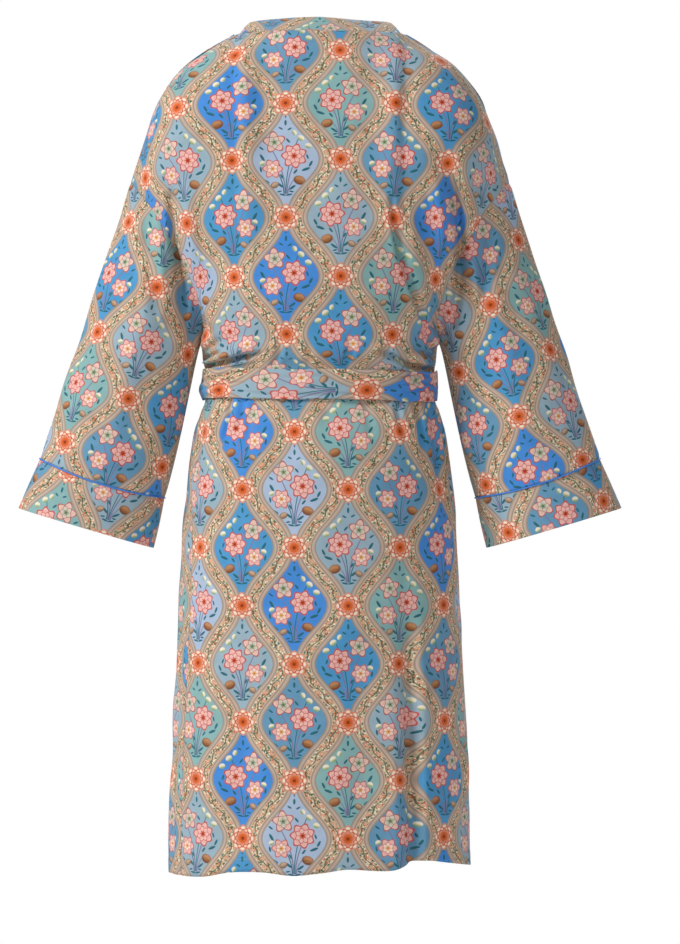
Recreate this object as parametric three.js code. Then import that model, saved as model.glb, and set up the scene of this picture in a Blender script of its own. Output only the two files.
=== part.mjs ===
// A kimono robe as it hangs on a wearer, hollow inside, with its belt tied.
// Millimetres, +Z up. The back of the robe faces -Y and the wearer's left side is -X.
// The origin lies between the shoulders, inside the neck opening.
import * as THREE from "three";

// Cloth and seams
const CLOTH = 2;
const SEAM_GAP = 0.3;
const HALF_GAP = SEAM_GAP / 2;
const BAND_GAP = 0.4;
const WRAP_LIFT = 4.8;

// Heights
const HEM_HEIGHT = -1053;
const UNDERARM_HEIGHT = -371;
const WAIST_TOP = -408;
const WAIST_BOTTOM = -450;

// Neck and shoulder, one half
const NECK_SHARE = 0.45;
const BAND_WIDTH = 38;
const BAND_STAND_BEHIND = { out: 0, forward: 0.84, up: 0.54 };
const BAND_STAND_BESIDE = { out: 0.56, forward: 0.64, up: 0.48 };
const BAND_TURN_FROM = 0.66;
const WRAP_SHARE = 0.2;

// Cross-sections of the body from the hem to the underarm
const BODY = [
  { height: -1075, halfWidth: 192, backDepth: 127, frontDepth: 133, seamTurn: 24 },
  { height: -979, halfWidth: 191.5, backDepth: 126, frontDepth: 131, seamTurn: 24 },
  { height: -863, halfWidth: 187, backDepth: 124, frontDepth: 128, seamTurn: 24 },
  { height: -704, halfWidth: 179, backDepth: 121, frontDepth: 123, seamTurn: 24 },
  { height: -613, halfWidth: 174.5, backDepth: 119, frontDepth: 119, seamTurn: 22 },
  { height: -540, halfWidth: 168, backDepth: 115, frontDepth: 114, seamTurn: 14 },
  { height: -486, halfWidth: 160, backDepth: 109, frontDepth: 107, seamTurn: 5 },
  { height: -462, halfWidth: 151.5, backDepth: 101, frontDepth: 100, seamTurn: 1 },
  { height: -450, halfWidth: 146.5, backDepth: 95, frontDepth: 95, seamTurn: 0 },
  { height: -408, halfWidth: 146.5, backDepth: 95, frontDepth: 95, seamTurn: 0 },
  { height: -397, halfWidth: 148.5, backDepth: 101, frontDepth: 101, seamTurn: 0 },
  { height: -386, halfWidth: 149.5, backDepth: 106, frontDepth: 105, seamTurn: 0 },
  { height: -371, halfWidth: 151, backDepth: 109, frontDepth: 107, seamTurn: 0 },
];
const SIDE_POWER = 2.15;

// Shoulder seam from the neck to the sleeve, out along the slope
const SHOULDER = [
  { share: 0, x: 110, z: 20 },
  { share: 0.17, x: 146, z: -2 },
  { share: 0.34, x: 179, z: -27 },
  { share: 0.52, x: 205, z: -62 },
  { share: 0.64, x: 216.5, z: -88 },
  { share: 0.86, x: 233, z: -141 },
  { share: 1, x: 243, z: -172 },
];

// How each lengthwise thread of a panel leaves the underarm line and reaches the top.
// share runs from the centre, 0, to the armhole, 1. The last three columns are the arrival.
const BACK_RISE = [
  { share: 0, out: 0, away: 70, up: 400, outTop: 0, inTop: 150, upTop: 330 },
  { share: 0.25, out: 0, away: 75, up: 400, outTop: 0, inTop: 210, upTop: 300 },
  { share: 0.45, out: 10, away: 95, up: 420, outTop: 0, inTop: 390, upTop: 110 },
  { share: 0.6, out: 20, away: 110, up: 440, outTop: 0, inTop: 400, upTop: 20 },
  { share: 0.75, out: 15, away: 150, up: 410, outTop: 10, inTop: 380, upTop: 0 },
  { share: 0.9, out: -10, away: 190, up: 290, outTop: 40, inTop: 330, upTop: 10 },
  { share: 1, out: -40, away: 200, up: 170, outTop: 60, inTop: 260, upTop: 40 },
];
const FRONT_RISE = [
  { share: 0, out: 0, away: 60, up: 300, outTop: 0, inTop: 60, upTop: 200 },
  { share: 0.25, out: 0, away: 80, up: 360, outTop: 0, inTop: 200, upTop: 220 },
  { share: 0.45, out: 10, away: 100, up: 420, outTop: 0, inTop: 390, upTop: 110 },
  { share: 0.6, out: 20, away: 120, up: 440, outTop: 0, inTop: 400, upTop: 20 },
  { share: 0.75, out: 15, away: 150, up: 410, outTop: 10, inTop: 380, upTop: 0 },
  { share: 0.9, out: -10, away: 190, up: 290, outTop: 40, inTop: 330, upTop: 10 },
  { share: 1, out: -40, away: 200, up: 170, outTop: 60, inTop: 260, upTop: 40 },
];

// Neck line of the back and of the front, from the centre to the neck point
const BACK_NECK = [
  { share: 0, x: 0, y: -62, z: 20 },
  { share: 0.18, x: 47, y: -56, z: 20.5 },
  { share: 0.36, x: 93, y: -30, z: 21 },
  { share: 0.45, x: 110, y: 0, z: 20 },
];
const FRONT_NECK = [
  { share: 0, x: 0, y: 75, z: -45 },
  { share: 0.18, x: 47, y: 66, z: -30 },
  { share: 0.36, x: 93, y: 34, z: 2 },
  { share: 0.45, x: 110, y: 0, z: 20 },
];

// Sleeve, one side: rings at the cuff seam and at the sleeve mouth
const CUFF_SEAM = { outX: 358, outZ: -523, inX: 199, inZ: -573, halfDepth: 56 };
const SLEEVE_MOUTH = { outX: 385, outZ: -586, inX: 212, inZ: -637, halfDepth: 61 };
const SLEEVE_PULL = 265;
const SLEEVE_REACH = [
  { share: 0, reach: 300 },
  { share: 0.25, reach: 200 },
  { share: 0.5, reach: 130 },
  { share: 0.75, reach: 75 },
  { share: 1, reach: 26 },
];
const SLEEVE_ROWS = 11;
const CUFF_ROWS = 3;
const PIPING_RADIUS = 1.2;
const PIPING_SIDES = 6;

// Belt
const BELT_TOP = -410;
const BELT_WIDTH = 38;
const BELT_CLOTH = 2.6;
const BELT_CLEARANCE = 0.6;
const BELT_COLUMNS = 56;
const KNOT = { x: -8, width: 52, height: 46, depth: 26, turn: 0.15 };
const KNOT_MARGIN = 5;
const BELT_ENDS = [
  { name: "belt_end_left", x: -21, splay: -18, length: 372 },
  { name: "belt_end_right", x: 6, splay: 22, length: 338 },
];
const BELT_END_ROWS = 16;
const BELT_END_STAND = 1.1;
const BELT_END_START = { stand: 13, gather: 0.55, fall: 70 };

// Main folds of the body: angle in degrees from the centre back towards the wearer's right,
// heights of both ends, half breadth in degrees, and depth (a trough is positive)
const BODY_FOLDS = [
  { angle: 36, top: -640, bottom: -1180, breadth: 5, depth: 7 },
  { angle: -53, top: -440, bottom: -540, breadth: 5, depth: 5 },
  { angle: 66, top: -440, bottom: -600, breadth: 5, depth: 4 },
  { angle: -14, top: -440, bottom: -560, breadth: 6, depth: 2.5 },
  { angle: 16, top: -700, bottom: -1120, breadth: 8, depth: 3 },
  { angle: -30, top: -760, bottom: -1120, breadth: 7, depth: 3.5 },
  { angle: 132, top: -600, bottom: -1120, breadth: 7, depth: 5 },
  { angle: -128, top: -560, bottom: -1120, breadth: 7, depth: 5 },
  { angle: -152, top: -440, bottom: -600, breadth: 6, depth: 3 },
  { angle: 148, top: -440, bottom: -560, breadth: 6, depth: 3 },
];

// Folds of the upper panels: share across from the centre, span of the rise from the underarm
// to the shoulder, half breadth as a share, and depth. side is 0 where both sides have it.
const BACK_FOLDS = [
  { side: 0, share: 0.87, from: 0.04, to: 0.82, breadth: 0.07, depth: 10 },
  { side: 1, share: 0.66, from: 0, to: 0.34, breadth: 0.08, depth: 3.5 },
  { side: -1, share: 0.62, from: 0, to: 0.3, breadth: 0.07, depth: 3 },
];
const FRONT_FOLDS = [
  { side: 0, share: 0.86, from: 0.05, to: 0.8, breadth: 0.07, depth: 8 },
  { side: -1, share: 0.5, from: 0, to: 0.5, breadth: 0.07, depth: 3 },
];

// Hem: how far its edge rises above HEM_HEIGHT round the body
const HEM_RISE = [
  { angle: -180, rise: 10 },
  { angle: -120, rise: 4 },
  { angle: -66, rise: 1 },
  { angle: -45, rise: -3 },
  { angle: -26, rise: 6 },
  { angle: -6, rise: -1 },
  { angle: 16, rise: 3 },
  { angle: 40, rise: 14 },
  { angle: 62, rise: 14 },
  { angle: 90, rise: 12 },
  { angle: 140, rise: 14 },
  { angle: 180, rise: 10 },
];
const HEM_FADE = 300;

// Rows of the panels: spans of height below the underarm, then steps above it
const ROW_SPANS = [
  { from: HEM_HEIGHT, to: -610, steps: 8 },
  { from: -610, to: -486, steps: 3 },
  { from: -486, to: WAIST_BOTTOM, steps: 2 },
  { from: WAIST_BOTTOM, to: WAIST_TOP, steps: 1 },
  { from: WAIST_TOP, to: UNDERARM_HEIGHT, steps: 3 },
];
const UPPER_ROWS = 11;
const NECK_COLUMNS = 5;
const SHOULDER_COLUMNS = 7;
const FRONT_COLUMNS = 14;
const BAND_COLUMNS = 3;

const CLOTH_COLOUR = 0x7d96a8;
const BELT_COLOUR = 0x8a97a0;
const PIPING_COLOUR = 0x2f74d6;

const RADIANS = Math.PI / 180;
const vector = (x, y, z) => new THREE.Vector3(x, y, z);
const ease = (t) => {
  const k = Math.min(Math.max(t, 0), 1);
  return k * k * (3 - 2 * k);
};

// Smooth curve through a table: a cubic in each span, its slopes from the rows on both sides.
function read(table, key, column, at) {
  const last = table.length - 1;
  const ascending = table[last][key] > table[0][key];
  let i = 0;
  while (i < last - 1 && (ascending ? at > table[i + 1][key] : at < table[i + 1][key])) {
    i += 1;
  }
  const slope = (k) => {
    const a = table[Math.max(k - 1, 0)];
    const b = table[Math.min(k + 1, last)];
    return (b[column] - a[column]) / (b[key] - a[key]);
  };
  const width = table[i + 1][key] - table[i][key];
  const t = Math.min(Math.max((at - table[i][key]) / width, 0), 1);
  return cubic(table[i][column], slope(i) * width, table[i + 1][column], slope(i + 1) * width, t);
}

// Cubic from a to b that leaves with slope ta and arrives with slope tb.
function cubic(a, ta, b, tb, t) {
  const t2 = t * t;
  const t3 = t2 * t;
  return a * (2 * t3 - 3 * t2 + 1) + ta * (t3 - 2 * t2 + t) + b * (3 * t2 - 2 * t3) + tb * (t3 - t2);
}

function cubicPoint(a, ta, b, tb, t) {
  return vector(
    cubic(a.x, ta.x, b.x, tb.x, t),
    cubic(a.y, ta.y, b.y, tb.y, t),
    cubic(a.z, ta.z, b.z, tb.z, t),
  );
}

// Point of the body's section at a height. The angle runs from the centre back, in degrees.
function bodyPoint(angle, height) {
  const sine = Math.sin(angle * RADIANS);
  const cosine = Math.cos(angle * RADIANS);
  const depth = read(BODY, "height", cosine > 0 ? "backDepth" : "frontDepth", height);
  const power = 2 / SIDE_POWER;
  return vector(
    read(BODY, "height", "halfWidth", height) * Math.sign(sine) * Math.abs(sine) ** power,
    -depth * Math.sign(cosine) * Math.abs(cosine) ** power,
    height,
  );
}

// How far the folds push the cloth in at an angle and height of the body.
function foldDepth(angle, height) {
  let depth = 0;
  for (const fold of BODY_FOLDS) {
    const off = (((angle - fold.angle + 540) % 360) - 180) / fold.breadth;
    const along = (fold.top - height) / (fold.top - fold.bottom);
    if (along > 0 && along < 1) {
      depth += fold.depth * Math.exp(-off * off) * Math.sin(Math.PI * along ** 0.8);
    }
  }
  return depth;
}

// Raises the lowest rows so that the hem's edge has its soft wave.
function hemLift(angle, height) {
  const turned = ((angle + 540) % 360) - 180;
  const fade = ease(1 - (height - HEM_HEIGHT) / HEM_FADE);
  return read(HEM_RISE, "angle", "rise", turned) * fade;
}

// Angle of the left side seam: it turns towards the back below the belt.
const leftSeam = (height) => 90 - read(BODY, "height", "seamTurn", height);

const rowHeights = [];
for (const span of ROW_SPANS) {
  for (let i = 0; i < span.steps; i += 1) {
    rowHeights.push(span.from + ((span.to - span.from) * i) / span.steps);
  }
}
rowHeights.push(UNDERARM_HEIGHT);
const LOWER = rowHeights.length - 1;
const ROWS = LOWER + UPPER_ROWS;

// Top of a lengthwise thread: on the neck line near the centre, else on the shoulder seam.
function topPoint(share, neck) {
  const s = Math.abs(share);
  const side = Math.sign(share) || 1;
  if (s <= NECK_SHARE) {
    return vector(
      side * read(neck, "share", "x", s),
      read(neck, "share", "y", s),
      read(neck, "share", "z", s),
    );
  }
  const along = (s - NECK_SHARE) / (1 - NECK_SHARE);
  return vector(side * read(SHOULDER, "share", "x", along), 0, read(SHOULDER, "share", "z", along));
}

// Upper part of a panel. front is 1 for a front and -1 for the back.
function upperPoint(share, rise, front) {
  const s = Math.abs(share);
  const side = Math.sign(share) || 1;
  const table = front > 0 ? FRONT_RISE : BACK_RISE;
  const at = (column) => read(table, "share", column, s);
  const start = bodyPoint(front > 0 ? 180 - 90 * share : 90 * share, UNDERARM_HEIGHT);
  const leave = vector(side * at("out"), front * at("away"), at("up"));
  const arrive = vector(side * at("outTop"), -front * at("inTop"), at("upTop"));
  return cubicPoint(start, leave, topPoint(share, front > 0 ? FRONT_NECK : BACK_NECK), arrive, rise);
}

// A point of the back: share from -1, the left seam, to 1, the right seam.
function backPoint(share, row) {
  if (row > LOWER) {
    return upperPoint(share, (row - LOWER) / UPPER_ROWS, -1);
  }
  const height = rowHeights[row];
  const angle = share * (share < 0 ? leftSeam(height) : 90);
  const point = bodyPoint(angle, height);
  point.z += hemLift(angle, height);
  return point;
}

// A point of the fronts' common ground: share 0 is the centre front.
function frontPoint(share, row) {
  if (row > LOWER) {
    return upperPoint(share, (row - LOWER) / UPPER_ROWS, 1);
  }
  const height = rowHeights[row];
  const turned = share * (share < 0 ? 180 - leftSeam(height) : 90);
  const point = bodyPoint(180 - turned, height);
  point.z += hemLift(180 - turned, height);
  return point;
}

const backAngle = (share, row) => share * (share < 0 && row <= LOWER ? leftSeam(rowHeights[row]) : 90);
const frontAngle = (share, row) =>
  180 - share * (share < 0 && row <= LOWER ? 180 - leftSeam(rowHeights[row]) : 90);

// Direction out of the cloth on the armhole's edge. turn is 0 at the shoulder, 180 at the underarm.
function armholeOut(turn, side, front) {
  const cosine = Math.cos(turn * RADIANS);
  const sine = Math.sin(turn * RADIANS);
  const out = vector(
    side * (0.12 * sine + (cosine > 0 ? 0.95 * cosine : 0)),
    front * sine,
    cosine > 0 ? 0.3 * cosine : cosine,
  );
  return out.normalize();
}

// Direction out of the cloth on the shoulder seam.
function shoulderOut(share) {
  const s = Math.abs(share);
  const step = 0.01;
  const a = topPoint(Math.max(s - step, NECK_SHARE), BACK_NECK);
  const b = topPoint(Math.min(s + step, 1), BACK_NECK);
  return vector(Math.sign(share) * (a.z - b.z), 0, b.x - a.x).normalize();
}

// Directions out of a grid of points, from its neighbours.
function outward(points, closed, hint) {
  const rows = points.length;
  const columns = points[0].length;
  const normals = points.map((line, r) =>
    line.map((_, c) => {
      const left = closed ? (c + columns - 1) % columns : Math.max(c - 1, 0);
      const right = closed ? (c + 1) % columns : Math.min(c + 1, columns - 1);
      const across = points[r][right].clone().sub(points[r][left]);
      const along = points[Math.min(r + 1, rows - 1)][c].clone().sub(points[Math.max(r - 1, 0)][c]);
      return across.cross(along).normalize();
    }),
  );
  const r = Math.floor(rows / 2);
  const c = Math.floor(columns / 2);
  const flip = normals[r][c].dot(hint(points[r][c])) < 0 ? -1 : 1;
  return normals.map((line) => line.map((normal) => normal.multiplyScalar(flip)));
}

const moved = (points, normals, distance) =>
  points.map((line, r) =>
    line.map((point, c) => {
      const by = typeof distance === "function" ? distance(r, c) : distance;
      return point.clone().addScaledVector(normals[r][c], by);
    }),
  );

// A closed wall between an outer and an inner grid. A tube's columns run round and meet.
function wall(name, outer, inner, closed, colour) {
  const rows = outer.length;
  const columns = outer[0].length;
  const positions = [];
  for (const grid of [outer, inner]) {
    for (const line of grid) {
      for (const point of line) {
        positions.push(point.x, point.y, point.z);
      }
    }
  }
  const at = (layer, r, c) => (layer * rows + r) * columns + (closed ? c % columns : c);
  const faces = [];
  const quad = (a, b, c, d) => faces.push(a, b, c, a, c, d);
  const spans = closed ? columns : columns - 1;
  for (let r = 0; r < rows - 1; r += 1) {
    for (let c = 0; c < spans; c += 1) {
      quad(at(0, r, c), at(0, r, c + 1), at(0, r + 1, c + 1), at(0, r + 1, c));
      quad(at(1, r, c), at(1, r + 1, c), at(1, r + 1, c + 1), at(1, r, c + 1));
    }
  }
  for (let c = 0; c < spans; c += 1) {
    quad(at(0, 0, c), at(1, 0, c), at(1, 0, c + 1), at(0, 0, c + 1));
    quad(at(0, rows - 1, c), at(0, rows - 1, c + 1), at(1, rows - 1, c + 1), at(1, rows - 1, c));
  }
  if (!closed) {
    for (let r = 0; r < rows - 1; r += 1) {
      const end = columns - 1;
      quad(at(0, r, 0), at(0, r + 1, 0), at(1, r + 1, 0), at(1, r, 0));
      quad(at(0, r, end), at(1, r, end), at(1, r + 1, end), at(0, r + 1, end));
    }
  }
  return solid(name, positions, faces, colour);
}

// A named mesh from points and faces, turned so that its faces point out.
function solid(name, positions, faces, colour) {
  let volume = 0;
  const point = (i) => vector(positions[3 * i], positions[3 * i + 1], positions[3 * i + 2]);
  for (let i = 0; i < faces.length; i += 3) {
    volume += point(faces[i]).dot(point(faces[i + 1]).cross(point(faces[i + 2])));
  }
  if (volume < 0) {
    for (let i = 0; i < faces.length; i += 3) {
      [faces[i + 1], faces[i + 2]] = [faces[i + 2], faces[i + 1]];
    }
  }
  const geometry = new THREE.BufferGeometry();
  geometry.setAttribute("position", new THREE.Float32BufferAttribute(positions, 3));
  geometry.setIndex(faces);
  geometry.computeVertexNormals();
  const mesh = new THREE.Mesh(
    geometry,
    new THREE.MeshStandardMaterial({ color: colour, roughness: 0.85, metalness: 0 }),
  );
  mesh.name = name;
  return mesh;
}

// How far the folds push a panel in, at a share across and a row.
function foldAt(share, row, front) {
  if (row <= LOWER) {
    return foldDepth(front > 0 ? frontAngle(share, row) : backAngle(share, row), rowHeights[row]);
  }
  const rise = (row - LOWER) / UPPER_ROWS;
  let depth = 0;
  for (const fold of front > 0 ? FRONT_FOLDS : BACK_FOLDS) {
    const along = (rise - fold.from) / (fold.to - fold.from);
    const off = (Math.abs(share) - fold.share) / fold.breadth;
    if (along > 0 && along < 1 && (fold.side === 0 || fold.side * share > 0)) {
      depth += fold.depth * Math.exp(-off * off) * Math.sin(Math.PI * along);
    }
  }
  return depth * ease((1 - Math.abs(share)) / 0.08);
}

// Sets the shared directions on the edges where panels meet.
function setEdges(panel, shares, front) {
  for (let r = 0; r <= ROWS; r += 1) {
    for (let c = 0; c < shares[r].length; c += 1) {
      const share = shares[r][c];
      const side = Math.sign(share);
      const onSeam = Math.abs(share) === 1;
      if (onSeam && r < LOWER) {
        const angle = front > 0 ? frontAngle(share, r) : backAngle(share, r);
        const flat = bodyPoint(angle + 1, rowHeights[r]).sub(bodyPoint(angle - 1, rowHeights[r]));
        panel.normals[r][c] = vector(-flat.y, flat.x, 0).normalize().multiplyScalar(-1);
        if (panel.normals[r][c].x * side < 0) {
          panel.normals[r][c].multiplyScalar(-1);
        }
      }
      if (onSeam && r >= LOWER) {
        panel.normals[r][c] = armholeOut(180 * (1 - (r - LOWER) / UPPER_ROWS), side, front);
      }
      if (r === ROWS && Math.abs(share) >= NECK_SHARE - 1e-9) {
        panel.normals[r][c] = shoulderOut(share);
      }
    }
  }
}

// Shifts the edges that meet a neighbour back by half a seam gap.
function openSeams(panel, shares, front) {
  for (let r = 0; r <= ROWS; r += 1) {
    for (let c = 0; c < shares[r].length; c += 1) {
      const point = panel.points[r][c];
      if (Math.abs(shares[r][c]) === 1 && r <= LOWER) {
        const inner = panel.points[r][c === 0 ? 1 : c - 1];
        const back = vector(inner.x - point.x, inner.y - point.y, 0);
        const normal = panel.normals[r][c];
        back.addScaledVector(normal, -back.dot(normal) / normal.lengthSq()).normalize();
        point.addScaledVector(r < LOWER ? back : vector(0, front, 0), HALF_GAP);
      }
      if (r === ROWS && Math.abs(shares[r][c]) >= NECK_SHARE - 1e-9) {
        point.y += front * HALF_GAP;
      }
    }
  }
}

function columnsOfBack() {
  const half = [];
  for (let i = 1; i <= NECK_COLUMNS; i += 1) {
    half.push((NECK_SHARE * i) / NECK_COLUMNS);
  }
  for (let i = 1; i < SHOULDER_COLUMNS; i += 1) {
    half.push(NECK_SHARE + ((1 - NECK_SHARE) * i) / SHOULDER_COLUMNS);
  }
  half.push(1);
  return [...half.map((share) => -share).reverse(), 0, ...half];
}

function makeBack() {
  const columns = columnsOfBack();
  const shares = Array.from({ length: ROWS + 1 }, () => columns);
  const points = shares.map((line, r) => line.map((share) => backPoint(share, r)));
  const panel = { points, normals: outward(points, false, () => vector(0, -1, 0)) };
  setEdges(panel, shares, -1);
  openSeams(panel, shares, -1);
  panel.points = moved(panel.points, panel.normals, (r, c) => -foldAt(shares[r][c], r, -1));
  panel.columns = columns;
  return panel;
}

// Where a front's edge lies: across the centre below the underarm, then out to the neck point.
function edgeShare(row) {
  const rise = Math.max(row - LOWER, 0) / UPPER_ROWS;
  return WRAP_SHARE + (-NECK_SHARE - WRAP_SHARE) * rise;
}

// How far the outer front stands off the inner one: none at its side seam, all where they lap.
const wrapLift = (share, side) => WRAP_LIFT * ease((1 + side * -share) / 0.55);

function makeFront(side, lifted) {
  const shares = Array.from({ length: ROWS + 1 }, (_, r) =>
    Array.from({ length: FRONT_COLUMNS + 1 }, (_, c) => {
      const across = c / FRONT_COLUMNS;
      return c === 0 ? side : side * (1 - across) - side * edgeShare(r) * across;
    }),
  );
  const points = shares.map((line, r) => line.map((share) => frontPoint(share, r)));
  const panel = { points, normals: outward(points, false, () => vector(0, 1, 0)), shares };
  setEdges(panel, shares, 1);
  openSeams(panel, shares, 1);
  panel.lift = (share, r) => {
    const fade = r > LOWER ? 1 - ease(((r - LOWER) / UPPER_ROWS - 0.45) / 0.4) : 1;
    return lifted ? wrapLift(share, side) * fade : 0;
  };
  panel.points = moved(panel.points, panel.normals, (r, c) => {
    return panel.lift(shares[r][c], r) - foldAt(shares[r][c], r, 1);
  });
  panel.side = side;
  return panel;
}

// Direction in which the neckband stands off its seam. place is 0 behind the neck, 1 beside it.
function bandStand(place) {
  const beside = Math.abs(Math.sin(place * 90 * RADIANS));
  const mix = (key) => BAND_STAND_BEHIND[key] * (1 - beside) + BAND_STAND_BESIDE[key] * beside;
  return vector(-Math.sign(place) * mix("out"), mix("forward"), mix("up")).normalize();
}

// Rows of the neckband beside a front's edge, from the hem to the neck.
function bandBesideFront(panel) {
  const stations = [];
  for (let r = 0; r < ROWS; r += 1) {
    const edge = FRONT_COLUMNS;
    const share = panel.shares[r][edge];
    const towards = -panel.side;
    const probe = 0.02;
    const reach = frontPoint(share + towards * probe, r).distanceTo(frontPoint(share, r)) / probe;
    const slant = r > LOWER ? 0.93 : 1;
    const turn = ease(((r - LOWER) / UPPER_ROWS - BAND_TURN_FROM) / (1 - BAND_TURN_FROM));
    const stand = bandStand(panel.side);
    const start = panel.points[r][edge];
    const base = frontPoint(share, r);
    const line = [];
    for (let c = 0; c <= BAND_COLUMNS; c += 1) {
      const across = (BAND_WIDTH * c) / BAND_COLUMNS;
      const at = share + (towards * across) / (reach * slant);
      const laid = frontPoint(at, r).sub(base).add(start);
      laid.addScaledVector(
        panel.normals[r][edge],
        foldAt(share, r, 1) - foldAt(at, r, 1),
      );
      const upright = start.clone().addScaledVector(stand, across);
      line.push(laid.lerp(upright, turn));
    }
    stations.push({ line, normal: panel.normals[r][edge] });
  }
  return stations;
}

// Rows of the neckband round the back of the neck, from the left to the right.
function bandBehindNeck(back) {
  const stations = [];
  back.columns.forEach((share, c) => {
    if (Math.abs(share) > NECK_SHARE + 1e-9) {
      return;
    }
    const stand = bandStand(share / NECK_SHARE);
    const start = back.points[ROWS][c];
    const line = [];
    for (let k = 0; k <= BAND_COLUMNS; k += 1) {
      line.push(start.clone().addScaledVector(stand, (BAND_WIDTH * k) / BAND_COLUMNS));
    }
    stations.push({ line, normal: back.normals[ROWS][c] });
  });
  return stations;
}

function makeNeckband(back, left, right) {
  const stations = [
    ...bandBesideFront(left),
    ...bandBehindNeck(back),
    ...bandBesideFront(right).reverse(),
  ];
  const points = stations.map((station, r) => {
    const before = stations[Math.max(r - 1, 0)].line[0];
    const after = stations[Math.min(r + 1, stations.length - 1)].line[0];
    const along = after.clone().sub(before);
    const across = along.cross(station.normal).normalize();
    const side = Math.sign(across.dot(station.line[1].clone().sub(station.line[0])));
    return station.line.map((point, c) =>
      point.clone().addScaledVector(across, c === 0 ? side * BAND_GAP : 0),
    );
  });
  const normals = outward(points, false, () => vector(0, -1, 0));
  stations.forEach((station, r) => {
    normals[r][0] = station.normal;
  });
  return wall("neckband", points, moved(points, normals, -CLOTH), false, CLOTH_COLOUR);
}

// Ring round a sleeve. turn is 0 on the outer side, 90 at the back, 180 on the inner side.
function ringPoint(ring, turn, side) {
  const cosine = Math.cos(turn * RADIANS);
  const sine = Math.sin(turn * RADIANS);
  return vector(
    side * ((ring.outX + ring.inX) / 2 + ((ring.outX - ring.inX) / 2) * cosine),
    -ring.halfDepth * sine,
    (ring.outZ + ring.inZ) / 2 + ((ring.outZ - ring.inZ) / 2) * cosine,
  );
}

// The armhole's edge as a ring: shoulder, back, underarm, front.
function armhole(back, front, side) {
  const edge = side > 0 ? back.columns.length - 1 : 0;
  const ring = [];
  for (let k = 0; k <= UPPER_ROWS; k += 1) {
    const r = ROWS - k;
    const turn = (180 * k) / UPPER_ROWS;
    ring.push({ point: back.points[r][edge], normal: back.normals[r][edge], turn });
  }
  for (let k = 1; k < UPPER_ROWS; k += 1) {
    const r = LOWER + k;
    const turn = 180 + (180 * k) / UPPER_ROWS;
    ring.push({ point: front.points[r][0], normal: front.normals[r][0], turn });
  }
  return ring;
}

function makeSleeve(name, back, front, side) {
  const ring = armhole(back, front, side);
  const count = ring.length;
  const axis = vector(
    side * (SLEEVE_MOUTH.outX + SLEEVE_MOUTH.inX - CUFF_SEAM.outX - CUFF_SEAM.inX),
    0,
    SLEEVE_MOUTH.outZ + SLEEVE_MOUTH.inZ - CUFF_SEAM.outZ - CUFF_SEAM.inZ,
  ).normalize();
  const lines = ring.map((place, k) => {
    const tangent = ring[(k + 1) % count].point.clone().sub(ring[(k + count - 1) % count].point);
    const leave = tangent.cross(place.normal).normalize();
    leave.multiplyScalar(Math.sign(leave.dot(vector(side, 0, -0.5))));
    const share = Math.abs(place.turn <= 180 ? place.turn : 360 - place.turn) / 180;
    const reach = read(SLEEVE_REACH, "share", "reach", share);
    const start = place.point.clone().addScaledVector(leave, SEAM_GAP);
    const end = ringPoint(CUFF_SEAM, place.turn, side).addScaledVector(axis, -HALF_GAP);
    const arrive = axis.clone().multiplyScalar(SLEEVE_PULL);
    return { start, leave: leave.multiplyScalar(reach), end, arrive };
  });
  const points = [];
  for (let r = 0; r <= SLEEVE_ROWS; r += 1) {
    const t = (r / SLEEVE_ROWS) ** 1.25;
    points.push(lines.map((line) => cubicPoint(line.start, line.leave, line.end, line.arrive, t)));
  }
  const centre = vector(side * 240, 0, -400);
  const normals = outward(points, true, (point) => point.clone().sub(centre));
  ring.forEach((place, k) => {
    normals[0][k] = place.normal;
  });
  normals[SLEEVE_ROWS] = ring.map((place) => ringOut(place.turn, side));
  return wall(name, points, moved(points, normals, -CLOTH), true, CLOTH_COLOUR);
}

// Direction out of the sleeve on the rings of the cuff.
function ringOut(turn, side) {
  const step = 2;
  const a = ringPoint(CUFF_SEAM, turn - step, side);
  const b = ringPoint(CUFF_SEAM, turn + step, side);
  const axis = vector(side * 0.295, 0, -0.955);
  return b.sub(a).cross(axis).normalize().multiplyScalar(side);
}

const sleeveTurns = () => Array.from({ length: 2 * UPPER_ROWS }, (_, k) => (180 * k) / UPPER_ROWS);

function makeCuff(name, side) {
  const turns = sleeveTurns();
  const points = [];
  for (let r = 0; r <= CUFF_ROWS; r += 1) {
    const t = r / CUFF_ROWS;
    points.push(
      turns.map((turn) => {
        const seam = ringPoint(CUFF_SEAM, turn, side);
        const mouth = ringPoint(SLEEVE_MOUTH, turn, side);
        const down = mouth.clone().sub(seam).normalize();
        return seam.addScaledVector(down, HALF_GAP).lerp(mouth, t);
      }),
    );
  }
  const normals = turns.map((turn) => ringOut(turn, side));
  const all = points.map(() => normals);
  return wall(name, points, moved(points, all, -CLOTH), true, CLOTH_COLOUR);
}

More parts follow.
